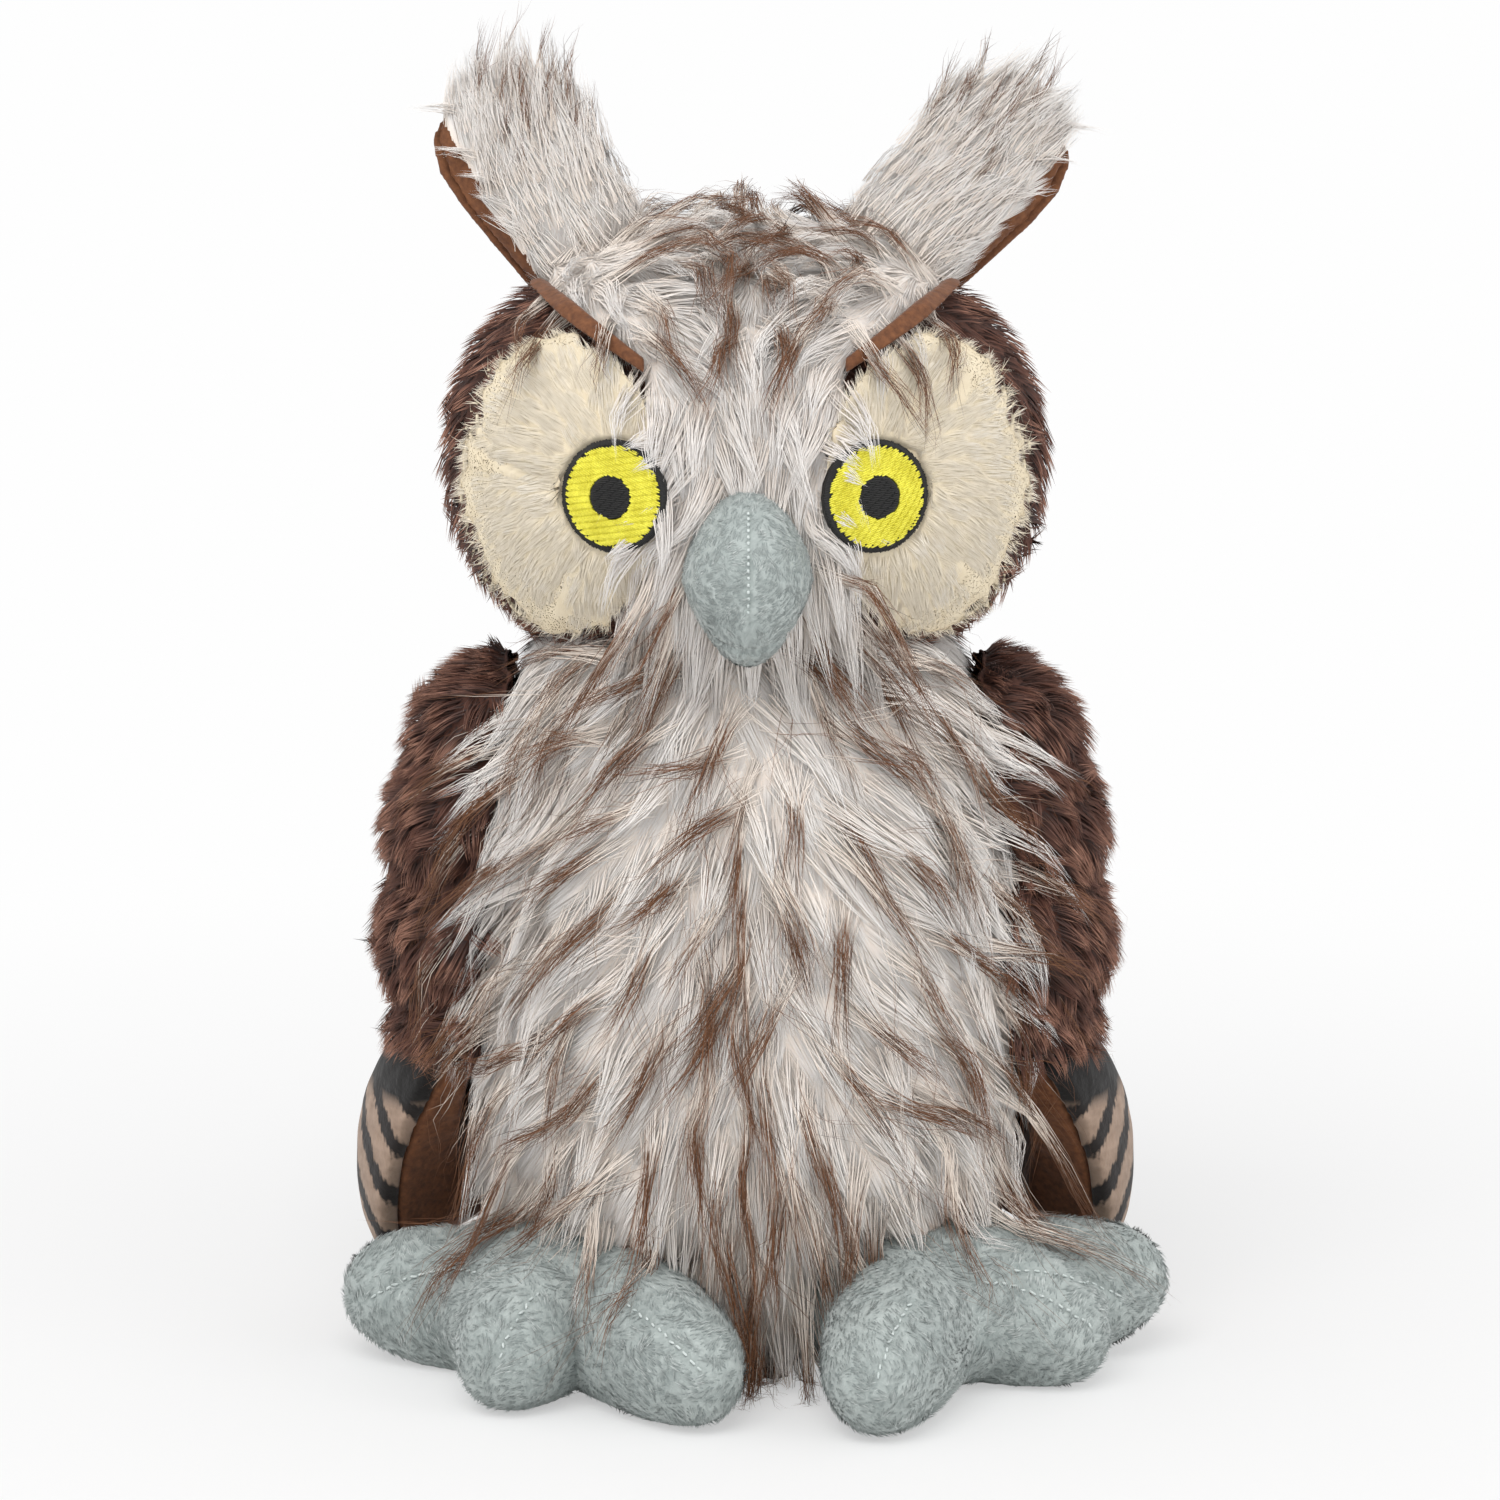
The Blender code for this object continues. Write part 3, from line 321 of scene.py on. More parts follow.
print("stripes", round(STRIPE_PERIOD * 1000, 1), "mm apart on the cloth's slant")

# %% [markdown]
# Each stuffed form starts as a copy of the solid that was modelled for it. A voxel remesh gives it an
# even skin, a smoothing takes the facets out, and a displacement draws the cloth in from the outside
# of its pile. Modifiers do this, and each one is applied so that the piece is plain mesh in the end.
# All skins are made now: a tool works through the whole file, and gets slow once the fur is in it.

# %% Skins from the solids
def only(obj):
    """Make obj the one selected and active object."""
    bpy.ops.object.select_all(action="DESELECT")
    obj.select_set(True)
    bpy.context.view_layer.objects.active = obj


def apply(obj, kind, **settings):
    """Add a modifier with its settings and apply it."""
    only(obj)
    step = obj.modifiers.new(kind.lower(), kind)
    for key, value in settings.items():
        setattr(step, key, value)
    bpy.ops.object.modifier_apply(modifier=step.name)


def skin(name, node, voxel, finish, grow, smooth):
    """A closed even skin over a copy of a solid, moved out by grow, or in where it is negative."""
    shell = bmesh.new()
    shell.from_mesh(frame["nodes"][node].data)
    bmesh.ops.remove_doubles(shell, verts=shell.verts, dist=0.00001)
    mesh = bpy.data.meshes.new(name)
    shell.to_mesh(mesh)
    shell.free()
    obj = bpy.data.objects.new(name, mesh)
    OWL.objects.link(obj)
    apply(obj, "REMESH", mode="VOXEL", voxel_size=voxel, use_smooth_shade=True)
    if grow:
        apply(obj, "DISPLACE", strength=grow, mid_level=0.0)
    if smooth:
        apply(obj, "SMOOTH", factor=0.5, iterations=smooth)
    obj.data.materials.clear()
    obj.data.materials.append(finish)
    print(name, len(obj.data.polygons), "faces")
    return obj


# Each row: the skin, its solid, the voxel in mm, the cloth, how far out in mm, rounds of smoothing.
SINGLE = (
    ("body_back_cloth", "body_filling", 2.6, BROWN_BACKING, 5.4, 4),
    ("head_cloth", "head_filling", 2.7, BROWN_BACKING, 4.2, 4),
    ("bill", "beak", 0.8, MINKY, 0, 4),
    ("tail_plush", "tail_top", 1.4, STRIPED, 0, 4),
    ("tail_suede", "tail_lining", 1.2, SUEDE, 0, 2),
    ("base_suede", "base_panel", 1.2, SUEDE, 0, 0),
)
PAIRED = (
    ("wing_covert_cloth", "wing_covert", 1.8, BROWN_BACKING, -2.2, 3),
    ("wing_flight_plush", "wing_flight", 1.4, STRIPED, 0, 4),
    ("wing_suede", "wing_lining", 1.2, SUEDE, 0, 3),
    ("foot_plush", "foot", 1.5, MINKY, 2.0, 6),
    ("eye_disc_cloth", "eye_disc", 1.3, CREAM_BACKING, -0.9, 3),
    ("ear_cloth", "ear_front", 1.2, WHITE_BACKING, -0.8, 3),
    ("ear_suede", "ear_lining", 1.0, SUEDE, 0, 3),
    ("brow_suede", "brow_lining", 0.7, SUEDE, 0, 4),
)
SKINS = {}
for before, forms in (("", SINGLE), ("left_", PAIRED), ("right_", PAIRED)):
    for piece, node, voxel, finish, grow, smooth in forms:
        name = before + piece
        SKINS[name] = skin(name, before + node, voxel * MM, finish, grow * MM, smooth)
apply(SKINS["head_cloth"], "SUBSURF", levels=1, render_levels=1)


def own(obj, body, nodes=()):
    """Let a finished piece ride on its body and stand for its solids, which are hidden."""
    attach(obj, body)
    if nodes:
        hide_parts(*nodes)
    return obj


# %% [markdown]
# Fur needs places to grow from. This helper scatters roots over a skin, as many on each triangle as
# its area asks for, and gives the cloth's own direction outwards there.

# %% Scatter roots
def read(mesh, field):
    """The places (co) or the directions outwards (normal) of a mesh's points."""
    values = np.empty(len(mesh.vertices) * 3)
    mesh.vertices.foreach_get(field, values)
    return values.reshape(-1, 3)


def unit(vectors):
    return vectors / np.maximum(np.linalg.norm(vectors, axis=-1, keepdims=True), 1e-9)


def scatter(obj, count, rng, where):
    """Random places on a mesh, even by area, with the directions outwards. where(points, out) keeps some."""
    mesh = obj.data
    mesh.calc_loop_triangles()
    places, outwards = read(mesh, "co"), read(mesh, "normal")
    corners = np.empty(len(mesh.loop_triangles) * 3, int)
    mesh.loop_triangles.foreach_get("vertices", corners)
    corners = corners.reshape(-1, 3)
    a, b, c = (places[corners[:, i]] for i in range(3))
    area = np.linalg.norm(np.cross(b - a, c - a), axis=1)
    picked = rng.choice(len(area), size=count, p=area / area.sum())
    u, v = rng.random((2, count))
    over = u + v > 1
    u[over], v[over] = 1 - u[over], 1 - v[over]
    share = np.stack([1 - u - v, u, v], axis=1)[:, :, None]
    points = (places[corners[picked]] * share).sum(axis=1)
    out = unit((outwards[corners[picked]] * share).sum(axis=1))
    kept = where(points, out)
    return points[kept], out[kept]


def finder_of(centres):
    """A quick search over some places."""
    finder = KDTree(len(centres))
    for number, centre in enumerate(centres):
        finder.insert(centre, number)
    finder.balance()
    return finder


def nearest(points, centres):
    """For each point, which centre is nearest."""
    finder = finder_of(centres)
    return np.array([finder.find(p)[1] for p in points], int)


def spaced(points, out, gap, rng):
    """Some of the points, none nearer to another than gap."""
    kept = []
    for i in rng.permutation(len(points)):
        if not kept or (np.linalg.norm(points[kept] - points[i], axis=1) > gap).all():
            kept.append(i)
    return points[kept], out[kept]


# %% [markdown]
# One strand is a closed three-sided spike a fraction of a millimetre wide. Thousands of them are built
# at once from arrays, because no tool works by hand at that number. Real pile is so fine that a tuft
# shades as one soft body, so each strand's shading normals lean towards the direction its tuft faces.

# %% Build strands
BLUNT = 0.15


def strands(name, paths, widths, glow, tones, finish, plump, soft):
    """One tapered closed strand along each path, as wide as widths at its root.

    glow holds the direction that the tuft faces at each point of a path, and tones pick chart rows.
    plump is a strand's thickness beside its width, and soft says how far its shading follows glow.
    """
    count, points = paths.shape[:2]
    steps = points - 1
    along = unit(np.gradient(paths, axis=1))
    side = unit(np.cross(along, glow))
    up = np.cross(side, along)
    share = np.linspace(0, 1, points)[:-1]
    girth = (1 - share**1.8) * (1 - BLUNT) + BLUNT
    turn = np.radians([90, 330, 210])
    radial = side[:, :-1, None] * np.cos(turn)[:, None] + up[:, :-1, None] * (np.sin(turn) * plump)[:, None]
    rings = paths[:, :-1, None] + radial * (widths[:, None] * girth / 2)[:, :, None, None]
    places = np.concatenate([rings.reshape(count, -1, 3), paths[:, -1:]], axis=1)

    faces, chart = [], []
    height = (0.2, 0.5, 0.8)
    for k in range(steps - 1):
        for j in range(3):
            i = (j + 1) % 3
            faces.append((3 * k + j, 3 * k + i, 3 * k + 3 + i, 3 * k + 3 + j))
            low, high = k / steps, (k + 1) / steps
            chart.append(((low, height[j]), (low, height[i]), (high, height[i]), (high, height[j])))
    for j in range(3):
        i = (j + 1) % 3
        faces.append((3 * steps - 3 + j, 3 * steps - 3 + i, 3 * steps))
        low = (steps - 1) / steps
        chart.append(((low, height[j]), (low, height[i]), (0.99, 0.5)))
    faces.append((2, 1, 0))
    chart.append(((0, 0.8), (0, 0.5), (0.05, 0.2)))

    corners = np.array([v for face in faces for v in face])
    sizes = np.array([len(face) for face in faces])
    spots = np.array([spot for face in chart for spot in face])
    each = 3 * steps + 1
    mesh = bpy.data.meshes.new(name)
    mesh.vertices.add(count * each)
    mesh.vertices.foreach_set("co", places.ravel())
    mesh.loops.add(count * len(corners))
    mesh.loops.foreach_set("vertex_index", (corners + np.arange(count)[:, None] * each).ravel())
    mesh.polygons.add(count * len(faces))
    starts = np.concatenate([[0], np.cumsum(sizes)[:-1]])
    mesh.polygons.foreach_set("loop_start", (starts + np.arange(count)[:, None] * len(corners)).ravel())
    mesh.polygons.foreach_set("use_smooth", np.ones(count * len(faces), bool))
    rows = np.floor(np.clip(tones, 0, 0.999) * ROWS)
    uv = np.empty((count, len(corners), 2))
    uv[:, :, 0] = spots[:, 0]
    uv[:, :, 1] = (rows[:, None] + spots[:, 1]) / ROWS
    mesh.uv_layers.new(name="OFBake").data.foreach_set("uv", uv.ravel())
    mesh.update(calc_edges=True)
    lean = unit(radial) * (1 - soft) + unit(glow)[:, :-1, None] * soft
    lean = np.concatenate([lean.reshape(count, -1, 3), unit(glow)[:, -1:]], axis=1)
    mesh.normals_split_custom_set_from_vertices(unit(lean).reshape(-1, 3))
    mesh.materials.append(finish)
    obj = bpy.data.objects.new(name, mesh)
    OWL.objects.link(obj)
    print(name, count, "strands,", count * (6 * steps - 2), "triangles")
    return obj


# %% [markdown]
# Long pile lies in tufts, as wet paint lies on a brush: a few dozen hairs leave the cloth together and
# end in one point. So a guide is laid first for each tuft. It leaves the cloth at a slope, follows the
# way the fur was combed, and stays within a small height of what lies under it until it can hang free.

# %% Guides for long pile
HANGING = -0.15
FLOOR_GAP = 0.8 * MM


def guides(tree, roots, out, comb, lengths, lift, stand, steps, droop):
    """Paths that rise off the cloth by the angle lift, then lie at most stand above what tree holds.

    Where the cloth faces down past HANGING, they hang freely instead, the more the larger droop is.
    """
    here, facing = roots.copy(), out.copy()
    paths, facings = [here], [facing]
    for step in range(1, steps + 1):
        share = step / steps
        way = comb(here)
        wish = way - facing * (way * facing).sum(axis=1, keepdims=True)
        free = facing[:, 2] < HANGING
        wish[free] = way[free] * (1 - droop) + np.array((0, 0, -1)) * droop
        wish = unit(wish)
        rise = (lift * (1 - share) ** 1.3)[:, None]
        here = here + (lengths / steps)[:, None] * (wish * np.cos(rise) + facing * np.sin(rise))
        found = [tree.find_nearest(p) for p in here]
        base = np.array([f[0] for f in found])
        turned = np.array([f[1] for f in found])
        same = (turned * facing).sum(axis=1) > 0.2
        facing[same] = unit(facing * 0.5 + turned * 0.5)[same]
        height = ((here - base) * facing).sum(axis=1)
        held = np.clip(height, stand * min(share * 1.5, 0.55), stand)
        lies = same & (facing[:, 2] >= HANGING) & (height < 4 * stand)
        here[lies] = (base + facing * held[:, None])[lies]
        here[:, 2] = np.maximum(here[:, 2], 1.2 * MM)
        paths.append(here.copy())
        facings.append(facing.copy())
    return np.stack(paths, axis=1), np.stack(facings, axis=1)


def tufts(paths, facings, spread, hairs, rng, look):
    """Strands that start round each guide's root and draw together along it, as look says.

    pinch and late say how much and how late, shortest how uneven their lengths are, bulge and curl how
    far they bow out and wave, puff how round the tuft is shaded, and flare parts the ends again.
    """
    lock = np.repeat(np.arange(len(paths)), hairs)
    count = len(lock)
    out = facings[lock, 0]
    first = unit(np.cross(out, (0.31, 0.2, 0.93)))
    turn = rng.uniform(0, 2 * pi, count)
    wide = np.sqrt(rng.random(count))
    offset = first * np.cos(turn)[:, None] + np.cross(out, first) * np.sin(turn)[:, None]
    offset = offset * (wide * spread)[:, None]
    reach = 1 - (1 - look.shortest) * rng.random(count) - 0.12 * wide
    share = np.linspace(0, 1, look.steps + 1)
    spot = share * reach[:, None] * (paths.shape[1] - 1)
    low = np.minimum(spot.astype(int), paths.shape[1] - 2)
    part = (spot - low)[:, :, None]
    line, facing = (held[lock[:, None], low] * (1 - part) + held[lock[:, None], low + 1] * part
                    for held in (paths, facings))
    drawn = 1 - (look.pinch * rng.uniform(0.8, 1.1, count))[:, None] * share**look.late
    drawn = np.clip(drawn, 0, 1)[:, :, None]
    drawn = drawn + look.flare * (np.clip((share - 0.5) / 0.5, 0, 1) ** 2)[None, :, None]
    line = line + offset[:, None] * drawn
    bow = np.sin(pi * share * 0.85)[None, :, None]
    line = line + facing * (look.bulge * (1 - wide**2))[:, None, None] * bow
    sway = unit(rng.normal(size=(count, 3)))
    wave = np.sin(share * 2 * pi * rng.uniform(0.4, 1.1, (count, 1)) + rng.uniform(0, 2 * pi, (count, 1)))
    size = wave * share * look.curl * rng.uniform(0.3, 1.6, (count, 1))
    line = line + sway[:, None] * size[:, :, None]
    line[:, :, 2] = np.maximum(line[:, :, 2], FLOOR_GAP)
    glow = unit(facing + offset[:, None] / spread * look.puff * (0.4 + 0.6 * drawn))
    return line, glow, lock


def tree_of(obj):
    return BVHTree.FromObject(obj, bpy.context.evaluated_depsgraph_get())


def hand(count):
    return count


# %% [markdown]
# Short pile is simpler: each strand bows over in the direction of the comb, and its tip leans to the
# middle of a tuft a few millimetres wide.

# %% Short pile
def short_pile(obj, count, rng, comb, length, lift, tuft, where, look):
    """Paths of short strands on a skin, the directions that their tufts face, and their tufts' chances."""
    roots, out = scatter(obj, count, rng, where)
    centres, _ = spaced(*scatter(obj, min(count, 9000), rng, where), tuft, rng)
    lock = nearest(roots, centres)
    stray = rng.normal(size=centres.shape) * look.ruffle
    way = (unit(comb(centres)) + stray)[lock]
    way = unit(way - out * (way * out).sum(axis=1, keepdims=True))
    long = length * rng.uniform(0.75, 1.1, len(roots))
    slope = lift * rng.uniform(0.8, 1.2, len(roots))
    share = np.linspace(0, 1, look.steps + 1)[None, :, None]
    rise = out[:, None] * (long * np.sin(slope))[:, None, None] * (share - 0.3 * share**2)
    run = way[:, None] * (long * np.cos(slope))[:, None, None] * share**1.2
    inward = centres[lock] - roots
    gather = inward[:, None] * look.pinch * share**1.3
    glow = unit(out - inward / tuft * look.puff)
    glow = np.repeat(glow[:, None], look.steps + 1, axis=1)
    paths = roots[:, None] + rise + run + gather
    paths[:, :, 2] = np.maximum(paths[:, :, 2], FLOOR_GAP)
    return paths, glow, lock, rng.random(len(centres))


# %% [markdown]
# The toy has a few kinds of pile, and each kind is one set of values. A piece names its kind and only
# what differs on it, so all the wool stays one wool. The chart rows say how soon the tips turn brown.

# %% Kinds of pile
def pale(centres, rng):
    return rng.uniform(0.0, 0.12, len(centres))


def tipped(centres, rng):
    return rng.uniform(0.62, 0.98, len(centres))


BROWN_FUR = {"finish": BROWN_PILE, "slot": "short_pile_brown", "width": 0.5, "rows": (0.25, 0.75),
             "ruffle": 0.35, "pinch": 0.6, "steps": 2, "puff": 0.4, "soft": 0.7, "plump": 0.6, "tone": None}
NAP = BROWN_FUR | {"finish": WHITE_PILE, "slot": "long_pile_white", "width": 0.34, "rows": (0.0, 0.12),
                   "pinch": 0.2, "steps": 1, "puff": 0.1, "soft": 0.99, "plump": 0.35}
CREAM_PLUSH = BROWN_FUR | {"finish": CREAM_PILE, "slot": "plush_cream", "width": 0.27, "rows": (0.1, 0.9),
                           "ruffle": 0.10, "pinch": 0.2, "steps": 1, "puff": 0.15, "soft": 0.97}
VELOUR = BROWN_FUR | {"finish": MINKY_PILE, "slot": "plush_grey_green", "width": 0.34, "rows": (0.0, 1.0),
                      "ruffle": 0.3, "pinch": 0.3, "steps": 1, "puff": 0.1, "soft": 0.85}
LOCK = {"finish": WHITE_PILE, "steps": 3, "pinch": 0.85, "late": 1.2, "curl": 0.8 * MM, "bulge": 0.8 * MM,
        "puff": 0.15, "shortest": 0.5, "flare": 0.0, "soft": 0.98, "plump": 0.6, "tone": pale}
STREAK = LOCK | {"finish": TIPPED_PILE, "steps": 5, "pinch": 0.9, "late": 0.4, "curl": 2.6 * MM,
                 "bulge": 0.3 * MM, "puff": 0.8, "shortest": 0.45, "flare": 0.7, "soft": 0.5, "tone": tipped}
FINE_STREAK = STREAK | {"steps": 6, "pinch": 0.8, "late": 0.45, "shortest": 0.5}
TONE_SPREAD = 0.08
print("short piles", [kind["slot"] for kind in (BROWN_FUR, NAP, CREAM_PLUSH, VELOUR)])


# %% Grow pile as pieces
def grow_short(name, body, cloth, rng, count, comb, lies, where, kind, **changes):
    """Short pile on a cloth, as one piece on a body. lies: length in mm, lift in degrees, tuft size in mm."""
    look = SimpleNamespace(**kind | changes)
    length, lift, tuft = lies
    paths, glow, lock, chance = short_pile(
        cloth, hand(count), rng, comb, length * MM, radians(lift), tuft * MM, where, look)
    low, high = look.rows
    tones = look.tone(paths[:, 0], rng) if look.tone else low + (high - low) * chance[lock]
    tones = tones + rng.normal(size=len(paths)) * TONE_SPREAD
    widths = look.width * MM * rng.uniform(0.75, 1.2, len(paths))
    obj = strands(name, paths, widths, glow, tones, look.finish, look.plump, look.soft)
    return own(obj, body)


def grow_tufts(name, body, laid, rng, tuft, kind, **changes):
    """Tufts along laid guides, as one piece. tuft: its spread in mm, its hairs and a hair's width in mm."""
    look = SimpleNamespace(**kind | changes)
    spread, hairs, width = tuft
    lines, glow, lock = tufts(*laid, spread * MM, max(3, hand(hairs)), rng, look)
    tones = look.tone(laid[0][:, 0], rng)[lock] + rng.normal(size=len(lock)) * TONE_SPREAD
    widths = width * MM * rng.uniform(0.7, 1.2, len(lock))
    obj = strands(name, lines, widths, glow, tones, look.finish, look.plump, look.soft)
    return own(obj, body)


def grow_long(name, site, rng, where, comb, lies, tuft, kind, heading=0.18, droop=0.5, bends=6, **changes):
    """Guides on a site, each combed its own way by heading, and the tufts along them.

    site: the body, its cloth, what the hair lies on. lies: gap and length in mm, lift in degrees, how far
    it stands off in mm.
    """
    body, cloth, tree = site
    gap, length, lift, stand = lies
    centres, facing = spaced(*scatter(cloth, 6000, rng, where), gap * MM, rng)
    turn = rng.normal(size=len(centres)) * heading

    def swayed(p):
        way = comb(p)
        return way + np.cross(way, facing) * turn[:, None]

    lengths = length * MM * rng.uniform(0.8, 1.15, len(centres))
    rise = radians(lift) * rng.uniform(0.7, 1.3, len(centres))
    heights = stand * MM * rng.uniform(0.7, 1.2, len(centres))
    laid = guides(tree, centres, facing, swayed, lengths, rise, heights, bends, droop)
    return grow_tufts(name, body, laid, rng, tuft, kind, **changes)


# %% [markdown]
# ## Body
# The body is one plump bag. Its front is long white pile, combed down and outwards from a parting in
# the middle, and the back is short brown pile. The bag is cut into a front and a back half, which are
# the two panels that a maker would sew together at the sides.

# %% Body cloth
body_cloth = SKINS["body_back_cloth"]
for v in body_cloth.data.vertices:
    v.co.z = max(v.co.z, FLOOR_GAP)
body_cloth.data.update()
front_cloth = body_cloth.copy()
front_cloth.data = body_cloth.data.copy()
front_cloth.name = "body_front_cloth"
OWL.objects.link(front_cloth)
front_cloth.data.materials[0] = WHITE_BACKING
for obj, keeps_front in ((front_cloth, True), (body_cloth, False)):
    only(obj)
    bpy.ops.object.mode_set(mode="EDIT")
    bpy.ops.mesh.select_all(action="SELECT")
    bpy.ops.mesh.bisect(
        plane_co=(0, 0, 0), plane_no=(0, 1, 0), use_fill=True,
        clear_outer=keeps_front, clear_inner=not keeps_front,
    )
    bpy.ops.object.mode_set(mode="OBJECT")
    print(obj.name, len(obj.data.polygons), "faces")
own(front_cloth, "body", ["body_front_panel", "body_filling"])
own(body_cloth, "body", ["body_back_panel", "pellet_bag"])

# %% [markdown]
# The fur lies on whatever is under it, so the guides feel for the body, the wings' fronts and the
# feet together. The wings and feet have their own skins, made here before anything grows.

# %% Cloths that the body fur lies on
FOOT_RISE = 1.16
coverts, feet = {}, {}
for name in SIDES:
    covert = SKINS[f"{name}_wing_covert_cloth"]
    own(covert, f"{name}_wing", [f"{name}_wing_covert"])
    foot = SKINS[f"{name}_foot_plush"]
    for v in foot.data.vertices:
        v.co.z = max(v.co.z * FOOT_RISE, 0.3 * MM)
    foot.data.update()
    own(foot, f"{name}_foot", [f"{name}_foot"])
    coverts[name], feet[name] = covert, foot
print("under the fur lie", [obj.name for obj in (*coverts.values(), *feet.values())])


def tree_of_all(objects):
    """One search tree over several skins."""
    joined = bmesh.new()
    for obj in objects:
        joined.from_mesh(obj.data)
    found = BVHTree.FromBMesh(joined)
    joined.free()
    return found


# %% [markdown]
# The comb follows the photograph: straight down at the parting, 30 to 45 degrees outwards half way to
# the sides, steeper again near the floor. Dense white wool like this bulges in soft tufts about 40 mm
# long and half as wide, so the cloth under it is pressed out into such lumps first, each drawn out
# along the comb. Then a fine nap covers them, and the eye reads the whole as one thick coat.

# %% Tufts pressed out of the cloth
def smooth_step(x, low, high):
    t = np.clip((x - low) / (high - low), 0, 1)
    return t * t * (3 - 2 * t)


def body_comb(p):
    x, z = p[:, 0], p[:, 2]
    lean = np.radians(8 + 36 * smooth_step(abs(x), 0.004, 0.034) - 16 * smooth_step(abs(x), 0.05, 0.07))
    lean = lean * (0.45 + 0.55 * smooth_step(z, 0.02, 0.085)) + np.radians(16) * smooth_step(z, 0.13, 0.16)
    return np.stack([np.sin(lean) * np.sign(x), np.zeros(len(p)), -np.cos(lean)], axis=1)


def down(p):
    return np.tile((0.0, 0.0, -1.0), (len(p), 1))


def on_front(p, n):
    return (p[:, 1] < -0.010) & (n[:, 1] < -0.42) & (n[:, 2] < 0.9) & (p[:, 2] > 0.006)


def press_tufts(obj, rng, where, comb, gap, long, wide, deep, lift=0.0):
    """Press soft lumps out of a skin, gap apart and drawn out along the comb, over a raised ground."""
    centres, _ = spaced(*scatter(obj, 5000, rng, where), gap, rng)
    ways = unit(comb(centres))
    tall = deep * rng.uniform(0.6, 1.1, len(centres))
    finder = finder_of(centres)
    places, outwards = read(obj.data, "co"), read(obj.data, "normal")
    for index in np.nonzero(where(places, outwards))[0]:
        near = np.array([found[1] for found in finder.find_n(places[index], 7)])
        off = places[index] - centres[near]
        along = (off * ways[near]).sum(axis=1)
        across = np.sqrt(np.maximum((off**2).sum(axis=1) - along**2, 0))
        bump = np.clip(1 - (along / long) ** 2 - (across / wide) ** 2, 0, 1) * tall[near]
        raised = (bump**3).sum() ** (1 / 3) + lift
        obj.data.vertices[index].co += Vector(outwards[index]) * float(raised)
    obj.data.update()
    print(obj.name, len(centres), "tufts pressed out")


rng = np.random.default_rng(10)
apply(front_cloth, "SUBSURF", levels=1, render_levels=1)
press_tufts(front_cloth, rng, on_front, body_comb, 13.5 * MM, 19 * MM, 9.5 * MM, 4.6 * MM)
apply(front_cloth, "SMOOTH", factor=0.5, iterations=2)
under_fur = tree_of_all([front_cloth, body_cloth, *coverts.values(), *feet.values()])

# %% [markdown]
# The nap is short strands that lie along the comb. Over it fall loose locks of the same wool, which
# end in points, and the brown-tipped hairs: they part the white into tufts, run longest beside the
# parting, grow denser towards the floor, and their ends curl.

# %% Long fur on the body
def slanting(out, ahead, fall):
    """A comb that leads outwards on either side, ahead and down by fixed shares."""
    def comb(p):
        return np.stack([np.sign(p[:, 0]) * out, np.full(len(p), -ahead), np.full(len(p), -fall)], axis=1)
    return comb


def on_parting(p, n):
    return on_front(p, n) & (abs(p[:, 0]) < 0.003) & (p[:, 2] > 0.045) & (p[:, 2] < 0.145)


def streaked(p, n):
    """Where streaks grow: everywhere at the parting, and more of them the lower it is."""
    chance = 0.42 + 0.30 * smooth_step(0.10 - p[:, 2], 0.0, 0.06) + 1.0 * (abs(p[:, 0]) < 0.007)
    wave = 0.5 + 0.5 * np.sin(p[:, 0] * 331 + 1.3) * np.sin(p[:, 2] * 271 + 0.4)
    return on_front(p, n) & (wave < chance)


def at_shoulder(p, n):
    return on_front(p, n) & (abs(p[:, 0]) > 0.040) & (p[:, 2] > 0.110)


def low_beige_and_shade(roots, rng):
    """Wool low on the body is beige here and there, partly its own beige and partly painted shade near the
    floor, and the wool higher up is white.
    """
    low = smooth_step(0.080 - roots[:, 2], 0.0, 0.05)
    patch = 0.5 + 0.5 * np.sin(roots[:, 0] * 210 + 2) * np.sin(roots[:, 2] * 190 + roots[:, 0] * 90)
    return 0.06 + 0.75 * low * patch


rng = np.random.default_rng(11)
for band, low, high in (("chest", 0.118, 0.2), ("belly", 0.075, 0.118), ("lap", 0.006, 0.075)):
    def in_band(p, n, low=low, high=high):
        return (p[:, 1] < -0.001) & (n[:, 2] < 0.9) & (p[:, 2] > low) & (p[:, 2] <= high)
    # The beige tips low on the body are partly the wool's own beige and partly painted shade near the floor.
    grow_short(f"{band}_nap", "body", front_cloth, rng, 118000, body_comb, (9, 8, 6), in_band, NAP,
               width=0.36, ruffle=0.10, tone=low_beige_and_shade)
site = ("body", front_cloth, under_fur)
grow_long("body_locks", site, rng, on_front, body_comb, (9.0, 27, 24, 4.5), (5.4, 36, 0.27), LOCK,
          tone=low_beige_and_shade, soft=0.99, plump=0.4)
grow_long("shoulder_locks", site, rng, at_shoulder, slanting(0.75, 0.2, 0.65), (5.0, 32, 30, 6.0),
          (4.4, 40, 0.26), LOCK, heading=0.3, tone=low_beige_and_shade, curl=1.2 * MM)
grow_long("body_streaks", site, rng, streaked, body_comb, (9.6, 48, 36, 7.5), (5.0, 36, 0.23), STREAK,
          heading=0.36, steps=4, pinch=0.95, curl=3.0 * MM, flare=0.8)
grow_long("parting_streaks", site, rng, on_parting, down, (7.5, 40, 34, 7.0), (1.9, 26, 0.21), FINE_STREAK,
          heading=0.12, curl=2.0 * MM, bulge=0.5 * MM, flare=0.6)
grow_long("body_fly_away_hairs", site, rng, on_front, body_comb, (9.0, 40, 50, 10), (2.5, 4, 0.15), STREAK,
          heading=0.8, droop=0.3, bends=8, steps=7, pinch=-0.5, late=1.5, curl=4.0 * MM, bulge=0, flare=0.0,
          shortest=0.7, soft=0.3)

